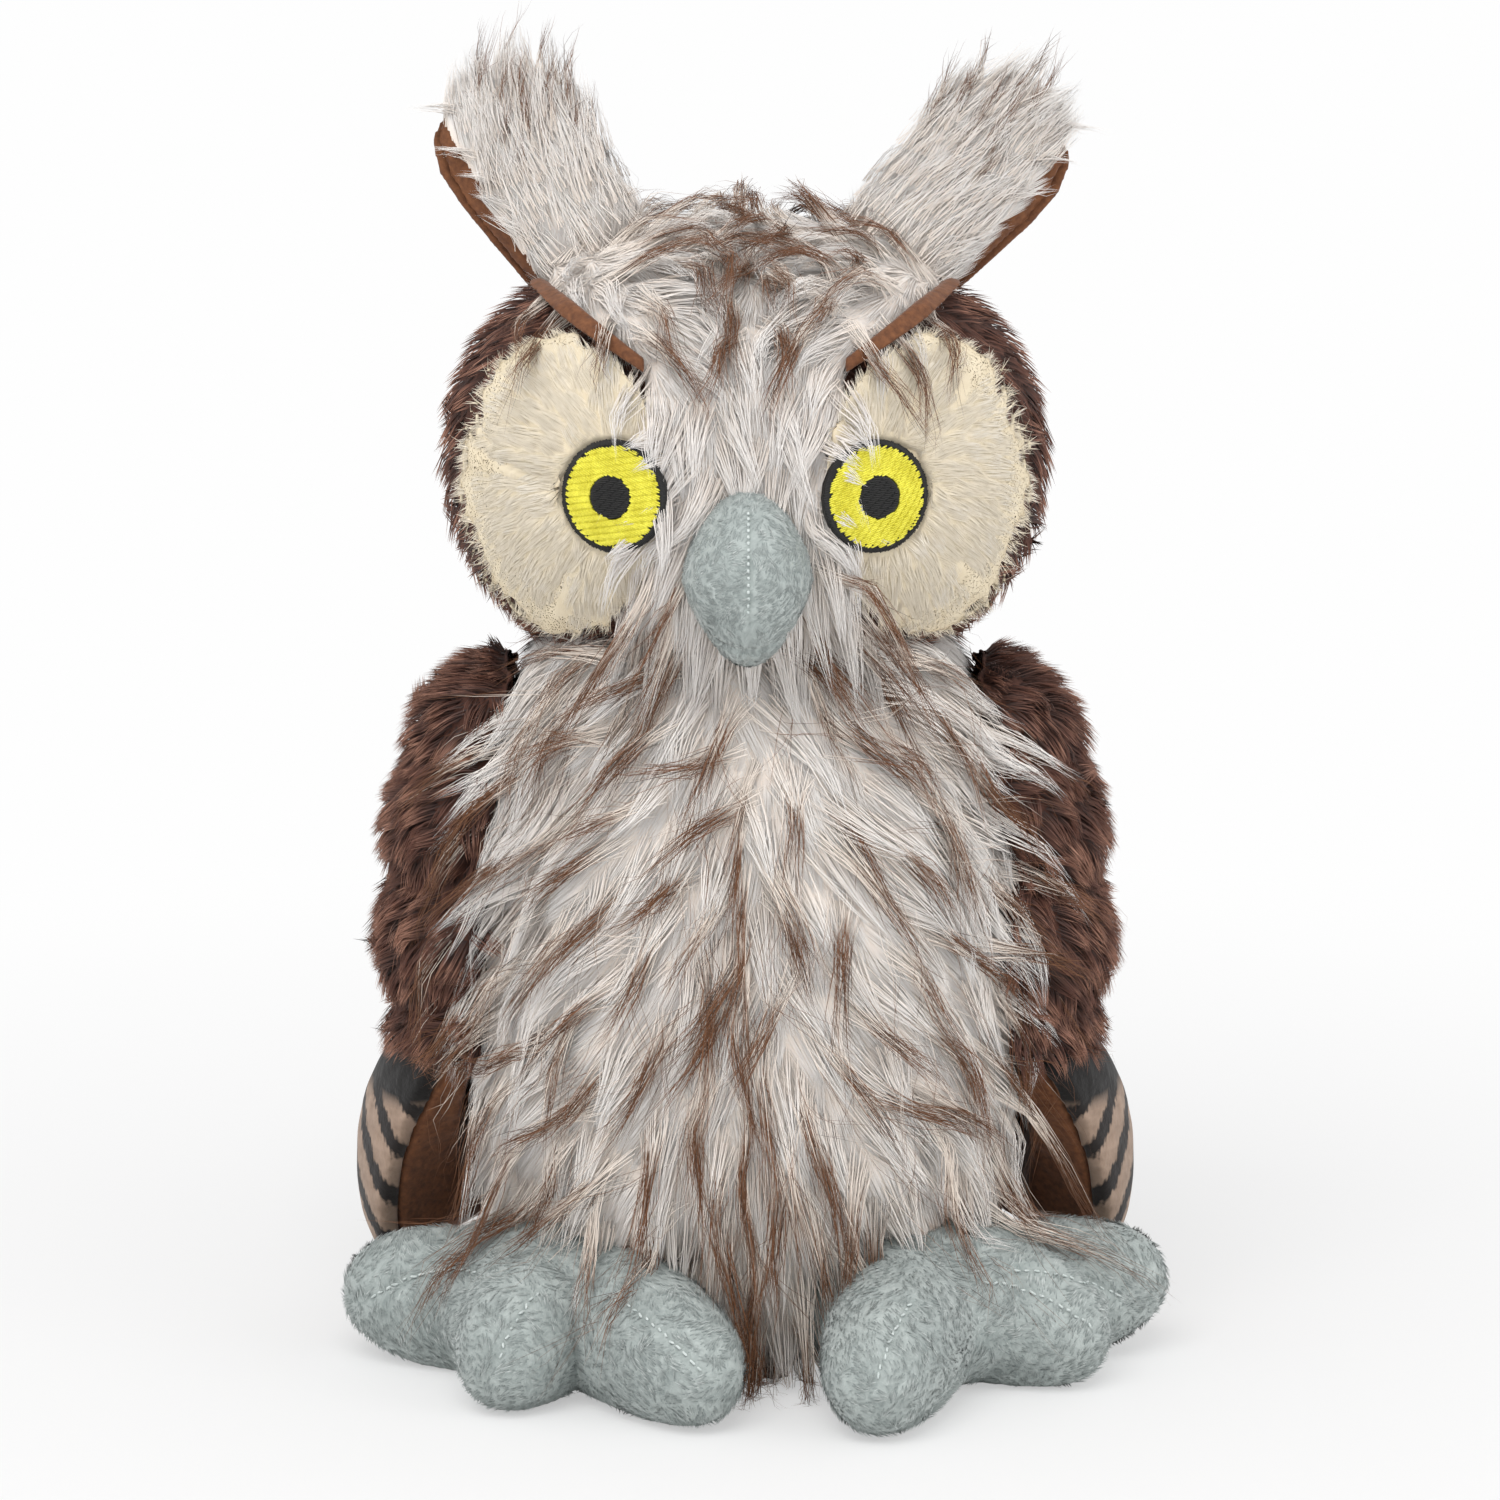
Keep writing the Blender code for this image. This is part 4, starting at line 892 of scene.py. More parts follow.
# %% [markdown]
# The back panel is short brown pile, combed down. The strands are wider and fewer than on the wings,
# since nothing longer covers them and they lie close.

# %% Brown pile on the back
def on_back(p, n):
    return (p[:, 1] > -0.002) & (n[:, 1] > -0.3) & (abs(n[:, 2]) < 0.93) & (p[:, 2] > 0.004)


rng = np.random.default_rng(12)
grow_short("back_fur", "body", body_cloth, rng, 13000, down, (9, 30, 6), on_back, BROWN_FUR, width=0.7)

# %% [markdown]
# ## Head
# The head's cloth is brown at the sides and back, and white over the crown and between the eyes. The
# white part follows the two brows: wide at the top, about 21 mm to each side between the eyes.

# %% Head cloth
CROWN_HEIGHTS = (0.160, 0.186, 0.205, 0.227, 0.2455, 0.262)
CROWN_HALVES = (0.027, 0.021, 0.022, 0.021, 0.047, 0.056)
head_cloth = SKINS["head_cloth"]
head_cloth.data.materials.append(WHITE_BACKING)


def crown_half(z):
    """Half the width of the white part of the head at a height."""
    return np.interp(z, CROWN_HEIGHTS, CROWN_HALVES)


def on_crown(p, n):
    return (abs(p[:, 0]) < crown_half(p[:, 2])) & (p[:, 1] < 0.014) & (n[:, 2] > -0.93)


def off_crown(p, n):
    return ~on_crown(p, n) & (n[:, 2] > -0.93)


# %% [markdown]
# ## Eye discs
# Each disc is an oval of cream plush that is drawn in along darts, which run out from the eye. The
# darts are pressed into the skin before the pile grows, and the pile is combed away from the eye.

# %% Eye discs
DARTS = {"left": (62, 172, 236), "right": (42, 118, -38)}
DART_DEPTH, DART_WIDTH, DART_START = 0.8 * MM, 2.0 * MM, 0.008
EYE_TURN = radians(22)


def eye_place(name, side):
    """The middle of an eye, on the top of its stitching, with its axes across, up and out."""
    out = np.array((side * sin(EYE_TURN), -cos(EYE_TURN), 0.0))
    places = read(frame["nodes"][f"{name}_eye_pupil"].data, "co")
    middle = (places.max(axis=0) + places.min(axis=0)) / 2
    top = middle + out * ((places - middle) @ out).max()
    return top, np.array((-out[1], out[0], 0.0)), np.array((0.0, 0.0, 1.0)), out


discs = {}
for name, side in SIDES.items():
    disc = SKINS[f"{name}_eye_disc_cloth"]
    top, across, high, out = eye_place(name, side)
    for v in disc.data.vertices:
        off = np.array(v.co) - top
        x, z = off @ across, off @ high
        for angle in DARTS[name]:
            way = np.array((cos(radians(angle)), sin(radians(angle))))
            run, wide = x * way[0] + z * way[1], abs(x * way[1] - z * way[0])
            if run > DART_START:
                v.co -= v.normal * DART_DEPTH * float(np.exp(-((wide / DART_WIDTH) ** 2)))
    disc.data.update()
    own(disc, "head", [f"{name}_eye_disc"])
    discs[name] = disc
print("darts", DART_DEPTH / MM, "mm deep in", len(discs), "discs")

# %% [markdown]
# On the forehead the fur runs down and inwards to the gap between the eyes, as two brows do, and from
# there down over the bridge. Beside and below the bill it spreads out again like a moustache.

# %% Tufts on the crown
def head_comb(p):
    x, y, z = p.T
    inward = -np.sign(x) * 0.9 * smooth_step(z, 0.216, 0.232) * smooth_step(abs(x), 0.0, 0.02)
    outward = np.sign(x) * 0.55 * smooth_step(0.206 - z, 0.0, 0.02) * smooth_step(abs(x), 0.0, 0.01)
    back = 0.8 * smooth_step(y, -0.012, 0.006)
    fall = 1 - 0.8 * smooth_step(y, -0.02, 0.0)
    return np.stack([inward + outward, back, -fall], axis=1)


rng = np.random.default_rng(20)
press_tufts(head_cloth, rng, on_crown, head_comb, 9 * MM, 12 * MM, 6.0 * MM, 2.4 * MM, 2.0 * MM)
apply(head_cloth, "SMOOTH", factor=0.5, iterations=2)
middles = np.array([f.center for f in head_cloth.data.polygons])
facings = np.array([f.normal for f in head_cloth.data.polygons])
white_faces = on_crown(middles, facings).astype(int)
head_cloth.data.polygons.foreach_set("material_index", white_faces)
own(head_cloth, "head", ("head_back_panel", "head_crown_panel", "head_filling"))
whole_head = tree_of_all([head_cloth, *discs.values()])
print("white faces", white_faces.sum(), "of", len(middles))


# %% Long fur on the head
def above_bridge(p, n):
    return on_crown(p, n) & (p[:, 2] > 0.218)


def on_brow(p, n):
    return on_crown(p, n) & (p[:, 2] > 0.233)


def beside_eye(p, n):
    return on_crown(p, n) & (abs(p[:, 0]) > 0.015) & (p[:, 2] > 0.188) & (p[:, 2] < 0.214)


def on_bridge(p, n):
    return on_crown(p, n) & (p[:, 2] <= 0.222) & (p[:, 1] < -0.02)


def beside_bill(p, n):
    return on_bridge(p, n) & (abs(p[:, 0]) > 0.009) & (p[:, 2] < 0.187)


rng = np.random.default_rng(21)
grow_short("crown_nap", "head", head_cloth, rng, 115000, head_comb, (8, 10, 5), on_crown, NAP, ruffle=0.12)
site, outwards = ("head", head_cloth, whole_head), slanting(0.85, 0.0, 0.55)
grow_long("forehead_locks", site, rng, above_bridge, head_comb, (7.5, 22, 34, 4.0), (4.4, 36, 0.24), LOCK)
grow_long("forehead_streaks", site, rng, on_brow, head_comb, (8.5, 40, 40, 8), (4.2, 42, 0.22), STREAK,
          heading=0.3)
grow_long("bridge_locks", site, rng, on_bridge, head_comb, (5.5, 24, 26, 4.5), (4.0, 44, 0.24), LOCK,
          heading=0.3, droop=0.7, bulge=1.0 * MM)
grow_long("eye_side_locks", site, rng, beside_eye, outwards, (4.0, 10, 50, 7.0), (3.4, 40, 0.24), LOCK)
grow_long("moustache_streaks", site, rng, beside_bill, outwards, (6.0, 44, 40, 7), (3.6, 30, 0.20), STREAK,
          heading=0.35, droop=0.6, pinch=0.85, flare=0.6)


# %% Brown pile on the head
def from_middle(p):
    return np.stack([p[:, 0], np.zeros(len(p)), np.full(len(p), -0.05)], axis=1)


rng = np.random.default_rng(22)
grow_short("head_side_fur", "head", head_cloth, rng, 12500, from_middle, (8.5, 32, 5.5), off_crown, BROWN_FUR,
           width=0.6)

# %% [markdown]
# The pile of the discs is as short as velvet's and combed away from the eye. At the rim it stands out
# over the brown fur, which makes the soft edge.

# %% Cream pile
for number, (name, side) in enumerate(SIDES.items()):
    top, _, _, out = eye_place(name, side)

    def from_eye(p, top=top):
        way = p - top
        return way + np.array((0, 0, -0.3)) * np.linalg.norm(way, axis=1, keepdims=True)

    def outside_eye(p, n, top=top, out=out):
        off = p - top
        flat = off - out * (off @ out)[:, None]
        return (np.linalg.norm(flat, axis=1) > 12.9 * MM) & (n[:, 1] < 0.7)

    rng = np.random.default_rng(31 + number)
    grow_short(f"{name}_eye_disc_pile", "head", discs[name], rng, 21000, from_eye, (3.6, 22, 4.0),
               outside_eye, CREAM_PLUSH)

# %% [markdown]
# ## Eyes
# The eyes are machine embroidery: black satin stitches set like rays make the ring, and the yellow and
# the black pupil are filled with short stitches in rows. Every stitch is one small rounded bar of
# thread, 0.46 mm wide, laid on the domed base of its colour.

# %% Thread materials
def thread(name, dark, light, roughness):
    """Trilobal polyester thread: strong colour, with a soft gloss and finer filaments along each stitch."""
    made, tree, shader = new_material(name)
    place = add(tree, "TexCoord", {}).outputs["Object"]
    fine = add(tree, "TexNoise", {"Scale": 2600, "Detail": 2}, {"Vector": place})
    worn = add(tree, "TexNoise", {"Scale": 300, "Detail": 2}, {"Vector": place})
    both = add(tree, "MixRGB", {0: 0.5}, {1: fine.outputs["Fac"], 2: worn.outputs["Fac"]})
    ramp = add(tree, "MapRange", {"From Min": 0.35, "From Max": 0.65}, {"Value": both.outputs[0]})
    colour = add(tree, "MixRGB", {1: linear(dark), 2: linear(light)}, {0: ramp.outputs[0]})
    bump = add(tree, "Bump", {"Strength": 0.6, "Distance": 0.08 * MM}, {"Height": fine.outputs["Fac"]})
    tree.links.new(colour.outputs[0], shader.inputs["Base Color"])
    tree.links.new(bump.outputs[0], shader.inputs["Normal"])
    shader.inputs["Roughness"].default_value = roughness
    return made


YELLOW = thread("yellow embroidery thread", "#d2c828", "#f6f055", 0.5)
BLACK = thread("black embroidery thread", "#080808", "#181716", 0.55)
SEWING = thread("grey-green sewing thread", "#b9c3c0", "#d9e0de", 0.6)

# %% A stitch, and how to sew many
bpy.ops.object.select_all(action="DESELECT")
bpy.ops.mesh.primitive_uv_sphere_add(segments=6, ring_count=5, radius=1)
pattern = bpy.context.object
STITCH = np.array([v.co for v in pattern.data.vertices])[:, [2, 0, 1]]
STITCH[:, 0] = np.sign(STITCH[:, 0]) * abs(STITCH[:, 0]) ** 0.55
STITCH_FACES = [tuple(f.vertices) for f in pattern.data.polygons]
bpy.data.objects.remove(pattern, do_unlink=True)


def sew(name, starts, ends, out, width, height, finish, base=None):
    """Stitches from each start to each end, as one mesh, with the skin of their base node under them."""
    middle, half = (starts + ends) / 2, np.linalg.norm(ends - starts, axis=1)[:, None] / 2
    along = unit(ends - starts)
    side = unit(np.cross(out, along))
    up = np.cross(along, side)
    shape = (along * half)[:, None] * STITCH[:, 0:1] + side[:, None] * STITCH[:, 1:2] * width / 2
    shape = shape + up[:, None] * STITCH[:, 2:3] * height / 2 + middle[:, None]
    places, faces = shape.reshape(-1, 3), []
    for number in range(len(starts)):
        faces += [tuple(v + number * len(STITCH) for v in face) for face in STITCH_FACES]
    mesh = bpy.data.meshes.new(name)
    mesh.from_pydata(places, [], faces)
    mesh.shade_smooth()
    shell = bmesh.new()
    shell.from_mesh(mesh)
    if base:
        shell.from_mesh(frame["nodes"][base].data)
    bmesh.ops.remove_doubles(shell, verts=shell.verts, dist=0.000001)
    bmesh.ops.recalc_face_normals(shell, faces=shell.faces)
    shell.to_mesh(mesh)
    shell.free()
    mesh.materials.clear()
    mesh.materials.append(finish)
    for face in mesh.polygons:
        face.material_index = 0
    obj = bpy.data.objects.new(name, mesh)
    OWL.objects.link(obj)
    print(name, len(starts), "stitches")
    return obj


# %% Embroider the eyes
EYE_RADIUS, RING, PUPIL, DOME = 12.2 * MM, 1.2 * MM, 4.6 * MM, 2.5 * MM
ROW, LONG, PROUD = 0.42 * MM, 2.6 * MM, 0.12 * MM
THREAD_WIDTH, THREAD_HEIGHT, RAY_GAP = 0.46 * MM, 0.5 * MM, 0.36 * MM


def on_dome(flat, eye):
    """Points of the eye's plane, laid on the dome of its stitching."""
    top, across, high, out = eye
    radius = np.linalg.norm(flat, axis=1, keepdims=True)
    sink = DOME * (radius / EYE_RADIUS) ** 2 - PROUD
    return top + flat[:, 0:1] * across + flat[:, 1:2] * high - out * sink


def fill(inner, outer, angle, rng):
    """Rows of stitches over a round area, each row's ends shifted against its neighbours'."""
    starts, ends = [], []
    for number, y in enumerate(np.arange(-outer, outer, ROW)):
        shift = (number % 4) * LONG / 4 + rng.uniform(-0.1, 0.1) * LONG
        for x in np.arange(-outer - LONG + shift, outer, LONG):
            a, b = x + 0.08 * LONG, x + 0.98 * LONG
            cells = np.linspace(a, b, 9)
            radius = np.hypot(cells, y)
            good = cells[(radius > inner) & (radius < outer)]
            if len(good) > 3:
                starts.append((good[0], y))
                ends.append((good[-1], y + rng.uniform(-0.05, 0.05) * MM))
    turn = np.array(((cos(angle), sin(angle)), (-sin(angle), cos(angle))))
    return np.array(starts) @ turn, np.array(ends) @ turn


for number, (name, side) in enumerate(SIDES.items()):
    rng = np.random.default_rng(41 + number)
    eye = eye_place(name, side)
    out = eye[3]
    turn = np.arange(0, 2 * pi, RAY_GAP / EYE_RADIUS)
    rays = np.stack([np.cos(turn), np.sin(turn)], axis=1)
    inner = EYE_RADIUS - RING - rng.uniform(0.0, 0.25 * MM, (len(turn), 1))
    outer = EYE_RADIUS + rng.uniform(-0.15 * MM, 0.2 * MM, (len(turn), 1))
    areas = {"ring": (on_dome(rays * inner, eye), on_dome(rays * outer, eye), BLACK, "thread_black")}
    iris = (PUPIL - 0.1 * MM, EYE_RADIUS - RING + 0.2 * MM, radians(side * 24))
    pupil = (0.0, PUPIL + 0.1 * MM, radians(8))
    for area, field, finish, slot_name in (
        ("iris", iris, YELLOW, "thread_yellow"), ("pupil", pupil, BLACK, "thread_black")
    ):
        starts, ends = fill(*field, rng)
        areas[area] = (on_dome(starts, eye), on_dome(ends, eye), finish, slot_name)
    for area, (starts, ends, finish, slot_name) in areas.items():
        node = f"{name}_eye_{area}"
        facing = np.tile(out, (len(starts), 1))
        sewn = sew(f"{node}_stitches", starts, ends, facing, THREAD_WIDTH, THREAD_HEIGHT, finish, node)
        own(sewn, "head", [node])

# %% [markdown]
# ## Bill
# The bill is one stuffed pouch of minky, sewn down its middle and drawn in by a crease where the
# lower bill begins. Its skin hangs a little lower and wider than the solid, as the cloth bags. The
# crease and the seam are pressed into the skin, and the seam shows its stitches.

# %% Bill
def press(obj, line, width, depth):
    """Press a groove into a skin along a line of points."""
    line = np.array(line)
    a, run = line[:-1], np.diff(line, axis=0)
    off = read(obj.data, "co")[:, None] - a
    share = np.clip((off * run).sum(axis=2) / (run * run).sum(axis=1), 0, 1)
    near = np.linalg.norm(off - run * share[:, :, None], axis=2).min(axis=1)
    for index in np.nonzero(near < 3 * width)[0]:
        v = obj.data.vertices[index]
        v.co -= v.normal * depth * float(np.exp(-((near[index] / width) ** 2)))
    obj.data.update()


def seen_from(tree, starts, way):
    """Where rays from some starts meet a skin, and the directions outwards there."""
    found = [tree.ray_cast(Vector(start), Vector(way)) for start in starts]
    met = [hit for hit in found if hit[0] is not None]
    return [np.array(hit[0]) for hit in met], [np.array(hit[1]) for hit in met]


WIDER, ASIDE, LOWER, LONGER = 0.10, 0.6 * MM, 1.8, 2.2
bill = SKINS["bill"]
BEAK_LOW, BEAK_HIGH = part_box("beak")
tall = BEAK_HIGH[2] - BEAK_LOW[2]
for v in bill.data.vertices:
    low = (BEAK_HIGH[2] - v.co.z) / tall
    v.co.x = v.co.x * (1 + WIDER * low) + ASIDE
    v.co.z -= (LOWER + LONGER * low) * MM
bill.data.update()
BEAK_LOW, tall = np.array(BEAK_LOW) - (0, 0, (LOWER + LONGER) * MM), tall + LONGER * MM
bill_tree = tree_of(bill)
heights = np.linspace(BEAK_LOW[2] + 0.95 * tall, BEAK_LOW[2] + 0.04 * tall, 26)
seam, seam_out = seen_from(bill_tree, [(0.0010, -0.2, z) for z in heights], (0, 1, 0))
turns = np.linspace(-1, 1, 25)
crease = [(0.0006 + 0.0125 * t, -0.2, BEAK_LOW[2] + tall * (0.12 + 0.17 * t * t)) for t in turns]
crease, _ = seen_from(bill_tree, crease, (0, 1, 0))
press(bill, crease, 1.0 * MM, 1.1 * MM)
press(bill, seam, 0.7 * MM, 0.7 * MM)
own(bill, "head", ["beak"])
bill_tree = tree_of(bill)
print("bill", round(tall / MM), "mm tall, its seam found at", len(seam), "points")

# %% Seams that show their stitches
SEAM_LIFT = 0.3 * MM


def stitched_seam(name, tree, line, out, pitch, size, body):
    """A row of short stitches, size long and wide, along a line that lies on a skin."""
    line, out = np.array(line), np.array(out)
    gone = np.concatenate([[0], np.cumsum(np.linalg.norm(np.diff(line, axis=0), axis=1))])
    at = np.arange(pitch / 2, gone[-1], pitch)

    def between(places, values):
        return np.stack([np.interp(places, gone, values[:, i]) for i in range(3)], axis=1)

    starts, ends = between(at - size[0] / 2, line), between(at + size[0] / 2, line)
    facing = unit(between(at, out))
    for spots in (starts, ends):
        for i, spot in enumerate(spots):
            spots[i] = np.array(tree.find_nearest(Vector(spot))[0]) + facing[i] * SEAM_LIFT
    sewn = sew(name, starts, ends, facing, size[1], size[1], SEWING)
    return own(sewn, body)


stitched_seam("bill_seam_stitches", bill_tree, seam[1:18], seam_out[1:18], 1.5 * MM, (0.8 * MM, 0.7 * MM),
              "head")

# %% [markdown]
# ## Ears
# An ear is a flap with long white fur on its front and suede behind. The fur grows along the ear and
# stands out past its tip like a brush. The suede lining runs on as a band below each brow.

# %% Ear cloths
EAR_LEAN = {"left": radians(35), "right": radians(43)}
EAR_WAY, EAR_OUT, EAR_ROOT = {}, {}, {}
for name, side in SIDES.items():
    lean = EAR_LEAN[name]
    EAR_WAY[name] = np.array((side * sin(lean), 0.0, cos(lean)))
    EAR_OUT[name] = np.array((side * cos(lean), 0.0, -sin(lean)))
    EAR_ROOT[name] = np.array((side * 0.0371, 0.0, 0.2505))
BROW_RUN, BROW_RISE = 0.864, 0.503
HEAD_MIDDLE = (0, 0, 0.205)


def ear_place(name, p):
    """How far along the ear each place lies, and how far towards its outer edge."""
    off = p - EAR_ROOT[name]
    return off @ EAR_WAY[name], off @ EAR_OUT[name]


for name in SIDES:
    ear = SKINS[f"{name}_ear_cloth"]
    own(ear, f"{name}_ear", [f"{name}_ear_front"])
    ear.data.materials.append(SUEDE)
    for face in ear.data.polygons:
        along, beside = ear_place(name, np.array(face.center))
        face.material_index = int(beside > 0.0105 - 0.06 * max(along, 0) or face.normal.y > 0.1)
    lining = SKINS[f"{name}_ear_suede"]
    own(lining, f"{name}_ear", [f"{name}_ear_lining"])
    print(ear.name, sum(face.material_index for face in ear.data.polygons), "faces of suede at its edge")

# %% [markdown]
# The outer end of each brow band is drawn to a point and tucked in, as where it is sewn under the fur.

# %% Brow bands
for name in SIDES:
    brow = SKINS[f"{name}_brow_suede"]
    places = read(brow.data, "co")
    along = abs(places[:, 0]) * BROW_RUN + places[:, 2] * BROW_RISE
    beside = -abs(places[:, 0]) * BROW_RISE + places[:, 2] * BROW_RUN
    end = smooth_step(along, along.max() - 0.014, along.max() - 0.001)
    drawn = (beside.mean() - beside) * 0.5 * end
    places[:, 0] -= np.sign(places[:, 0]) * BROW_RISE * drawn
    places[:, 2] += BROW_RUN * drawn
    places -= unit(places - HEAD_MIDDLE) * (1.6 * MM * end)[:, None]
    brow.data.vertices.foreach_set("co", places.ravel())
    brow.data.update()
    own(brow, "head", [f"{name}_brow_lining"])
    print(brow.name, "drawn in by up to", round(float(abs(drawn).max()) / MM, 1), "mm")

# %% Ear fur
EAR_BEND = {"left": -0.55, "right": 0.10}
EAR_LENGTH = 0.043


def ear_guides(name, rng, gap, length, bend, where):
    """Guides that leave the ear along its length and bend to one side: inwards where bend is negative."""
    way, beside = EAR_WAY[name], EAR_OUT[name]
    centres, facing = spaced(*scatter(SKINS[f"{name}_ear_cloth"], 4000, rng, where), gap * MM, rng)
    high = np.clip(ear_place(name, centres)[0] / EAR_LENGTH, 0, 1)
    lengths = length * rng.uniform(0.75, 1.15, len(centres))
    share = np.linspace(0, 1, 7)[None, :, None]
    leave = way + beside * (bend * high)[:, None] + facing * 0.30 + rng.normal(size=centres.shape) * 0.12
    bow = beside * bend * 0.3 - facing * 0.18
    paths = centres[:, None] + (unit(leave) * lengths[:, None])[:, None] * share
    paths = paths + (bow * lengths[:, None])[:, None] * share**2
    glow = unit(facing * 0.5 + way * 0.9)
    return paths, np.repeat(glow[:, None], 7, axis=1)


def ear_fur(name, rng):
    def narrower(p, widest, by):
        """Whether a place lies inside an outer edge that comes in by a share of the height."""
        along, beside = ear_place(name, p)
        return beside < widest - by * np.maximum(along, 0)

    def on_ear(p, n):
        return (ear_place(name, p)[0] > -0.004) & (n[:, 1] < 0.5) & narrower(p, 0.0092, 0.05)

    def to_edge(p, n):
        return on_ear(p, n) | ((n[:, 1] < 0.3) & narrower(p, 0.0118, 0.06))

    def at_edge(p, n):
        return on_ear(p, n) & ~narrower(p, 0.0062, 0.05)

    def inner_top(p, n):
        along, beside = ear_place(name, p)
        return on_ear(p, n) & (beside < 0.001) & (along > 0.016)

    def along_ear(p):
        return np.tile(EAR_WAY[name] + EAR_OUT[name] * EAR_BEND[name] * 0.5, (len(p), 1))

    ear, bend = f"{name}_ear", EAR_BEND[name]
    grow_short(f"{ear}_nap", ear, SKINS[f"{ear}_cloth"], rng, 16000, along_ear, (8, 12, 4), to_edge, NAP,
               ruffle=0.2)
    laid = ear_guides(name, rng, 4.2, 0.0150, bend, on_ear)
    grow_tufts(f"{ear}_locks", ear, laid, rng, (4.2, 50, 0.24), LOCK, steps=4, pinch=0.55, late=1.1,
               curl=1.6 * MM, bulge=1.2 * MM, shortest=0.45, plump=0.4)
    laid = ear_guides(name, rng, 6.5, 0.013, 1.1, at_edge)
    grow_tufts(f"{ear}_edge_locks", ear, laid, rng, (2.6, 34, 0.22), LOCK, steps=4, late=0.9,
               curl=1.2 * MM, plump=0.4)
    laid = ear_guides(name, rng, 5.0, 0.0185, bend - 0.35, inner_top)
    grow_tufts(f"{ear}_streaks", ear, laid, rng, (2.4, 18, 0.19), FINE_STREAK, curl=2.2 * MM, bulge=0,
               flare=0.5)


for number, name in enumerate(SIDES):
    ear_fur(name, np.random.default_rng(51 + number))

# %% [markdown]
# ## Wings
# The upper wing is brown short pile over four soft rolls, with wavy tufts that point down and out.
# Below hangs the flight part, a flap of printed plush with dark stripes, lined with suede. Low down
# both are let out and lengthened, as the flap flares where it isn't held.

# %% Wing coverts
def on_covert(p, n):
    return ((n[:, 0] * np.sign(p[:, 0]) > -0.45) | (p[:, 2] > 0.134)) & (n[:, 2] > -0.97)


for number, (name, covert) in enumerate(coverts.items()):
    rng = np.random.default_rng(61 + number)
    grow_short(f"{name}_wing_fur", f"{name}_wing", covert, rng, 19200, slanting(0.40, 0.12, 0.75),
               (9.0, 46, 5.0), on_covert, BROWN_FUR, width=0.40, ruffle=0.4, pinch=0.65, puff=0.6, soft=0.8)


# %% [markdown]
# The striped pattern needs a map of its cloth laid flat. How far a point lies across the flap and how
# far it has dropped from the top edge, both in metres, are enough for a flap that curves this little.

# %% A map of the striped cloth
def cloth_map(obj, across_of, drop_of):
    """A UV map in metres along the cloth, from two functions of a place."""
    layer = obj.data.uv_layers.new(name="cloth")
    for corner in obj.data.loops:
        place = obj.data.vertices[corner.vertex_index].co
        layer.data[corner.index].uv = (across_of(place), drop_of(place))


# %% Flight parts and linings
FLARE_BELOW, FLARE_OUT, FLARE_DOWN = 0.060, 4.0 * MM, 9.0 * MM
for name, side in SIDES.items():
    flight = SKINS[f"{name}_wing_flight_plush"]
    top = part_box(f"{name}_wing_flight")[1][2]
    cloth_map(flight, lambda p: 1.0 * abs(p.x) + 0.35 * p.y, lambda p, top=top: top - p.z)
    own(flight, f"{name}_wing", [f"{name}_wing_flight"])
    lining = SKINS[f"{name}_wing_suede"]
    for cloth in (flight, lining):
        for v in cloth.data.vertices:
            low = float(smooth_step(FLARE_BELOW - v.co.z, 0, 0.035))
            v.co.x += side * FLARE_OUT * low
            v.co.z -= min(FLARE_DOWN * low, max(v.co.z - 3 * MM, 0))
        cloth.data.update()
    own(lining, f"{name}_wing", [f"{name}_wing_lining"])
    print(flight.name, "hangs from", round(top / MM), "mm")

# %% [markdown]
# ## Feet
# Each foot is one stuffed form with three toes. A seam runs along each toe, drawn in a little by its
# stitches. The velour is 2 mm long and lies in swirls, so it catches the light in patches.

# %% Seams of the toes
TOE_TURNS = {
    "left": {"outer": 171, "middle": 251, "inner": 302},
    "right": {"outer": 14, "middle": 334, "inner": 258},
}
SEAM_SPAN = {"outer": (0.020, 0.046), "middle": (0.014, 0.042), "inner": (0.018, 0.058)}
HEEL_OUT, HEEL_FRONT = 0.0399, -0.030


def seam_on_toe(tree, name, side, toe):
    """A seam along a toe, found by looking at the toe from the camera's side."""
    turn = radians(TOE_TURNS[name][toe])
    aim, heel = Vector((cos(turn), sin(turn), 0)), Vector((side * HEEL_OUT, HEEL_FRONT, 0))
    starts = []
    for t in np.linspace(0, 1, 22):
        reach = SEAM_SPAN[toe][0] * (1 - t) + SEAM_SPAN[toe][1] * t
        starts.append(heel + aim * reach + Vector((0, 0, (23 - 9 * t**2) * MM)) + toward * 0.2)
    return seen_from(tree, starts, -toward)


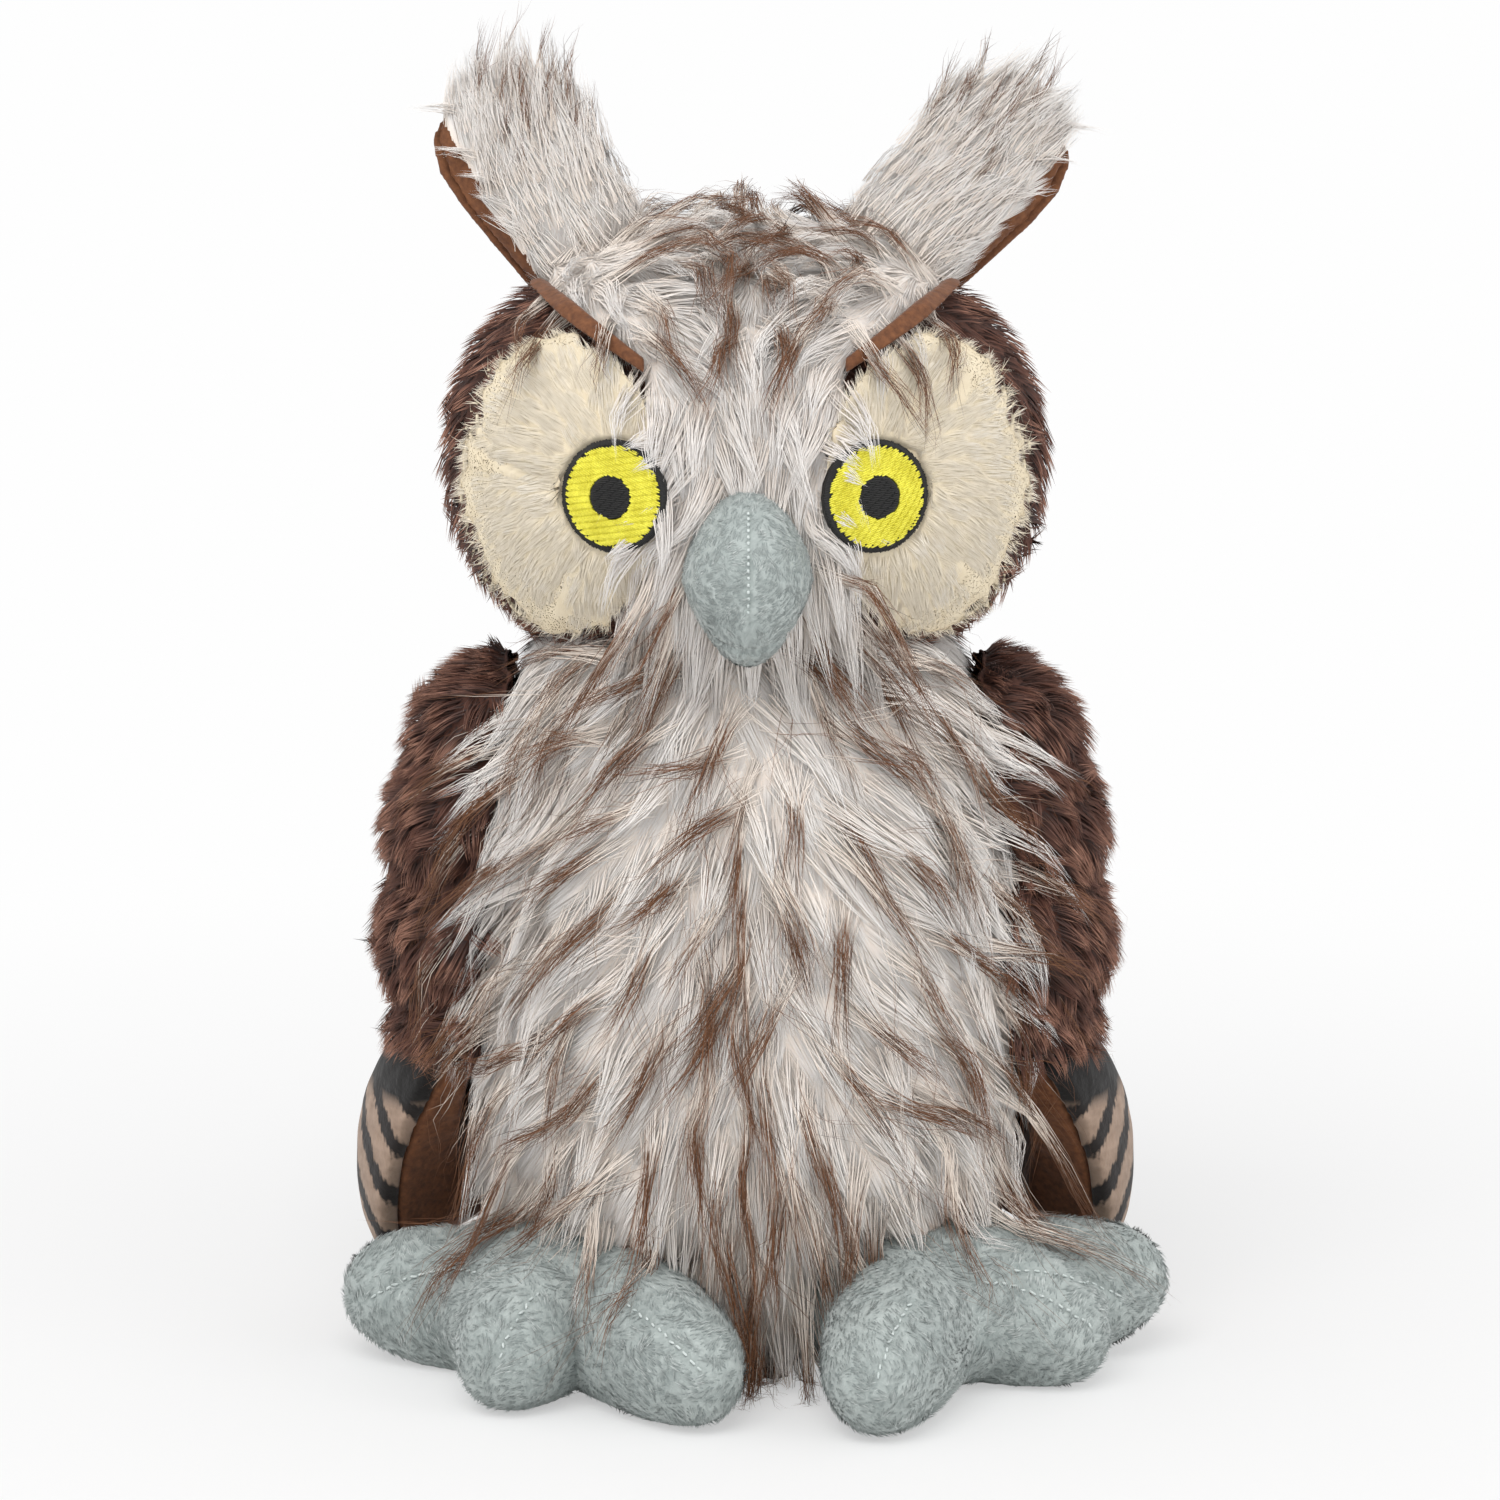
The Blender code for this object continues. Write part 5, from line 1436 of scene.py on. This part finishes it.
SEAMS = {"bill": np.array(seam)}
for name, side in SIDES.items():
    foot = feet[name]
    foot_tree = tree_of(foot)
    seams = {toe: seam_on_toe(foot_tree, name, side, toe) for toe in SEAM_SPAN}
    for line, out in seams.values():
        press(foot, line, 0.9 * MM, 1.1 * MM)
    foot_tree = tree_of(foot)
    for toe, (line, out) in seams.items():
        stitched_seam(f"{name}_{toe}_toe_stitches", foot_tree, line, out, 2.2 * MM, (1.3 * MM, 0.6 * MM),
                      f"{name}_foot")
    SEAMS[name] = np.array([spot for line, _ in seams.values() for spot in line])


# %% Velour fibres
def swirled(p):
    """Ways that turn in swirls of about 20 mm."""
    x, y, z = (p / 0.010).T
    a = 2.2 * np.sin(x + 0.7 * z) + 2.0 * np.sin(y * 1.1 - x * 0.4 + 1) + 1.6 * np.sin(z * 1.2 + y * 0.5 + 2)
    b = 2.0 * np.sin(x * 0.8 - z * 0.6 + 4) + 1.8 * np.sin(y * 0.9 + z * 0.8)
    return np.stack([np.cos(a), np.sin(a), np.sin(b)], axis=1)


def beside_seams(name):
    """Where velour grows: all over, but for the seams."""
    def kept(p, n):
        near = np.linalg.norm(p[:, None] - SEAMS[name], axis=2).min(axis=1)
        return (p[:, 2] > 0.0006) & (near > 1.1 * MM)
    return kept


for number, (name, foot) in enumerate(feet.items()):
    grow_short(f"{name}_foot_velour", f"{name}_foot", foot, np.random.default_rng(71 + number), 14500,
               swirled, (2.8, 26, 2.2), beside_seams(name), VELOUR)
grow_short("bill_velour", "head", bill, np.random.default_rng(73), 5200, swirled, (1.9, 16, 2.0),
           beside_seams("bill"), VELOUR, width=0.28)

# %% [markdown]
# ## Tail and base
# A short flap of the striped plush hangs behind, lined with suede, and a flat suede panel closes the
# body below.

# %% Tail and base
TAIL_TOP = 0.060
tail = SKINS["tail_plush"]
cloth_map(tail, lambda p: p.x, lambda p: TAIL_TOP - p.z + 0.004)
own(tail, "tail", ["tail_top"])
tail_suede = SKINS["tail_suede"]
own(tail_suede, "tail", ["tail_lining"])
base = SKINS["base_suede"]
own(base, "body", ["base_panel"])


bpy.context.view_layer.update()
total = sum(len(o.data.loop_triangles) or sum(len(f.vertices) - 2 for f in o.data.polygons)
            for o in OWL.objects if o.type == "MESH")
print("triangles in all", total)
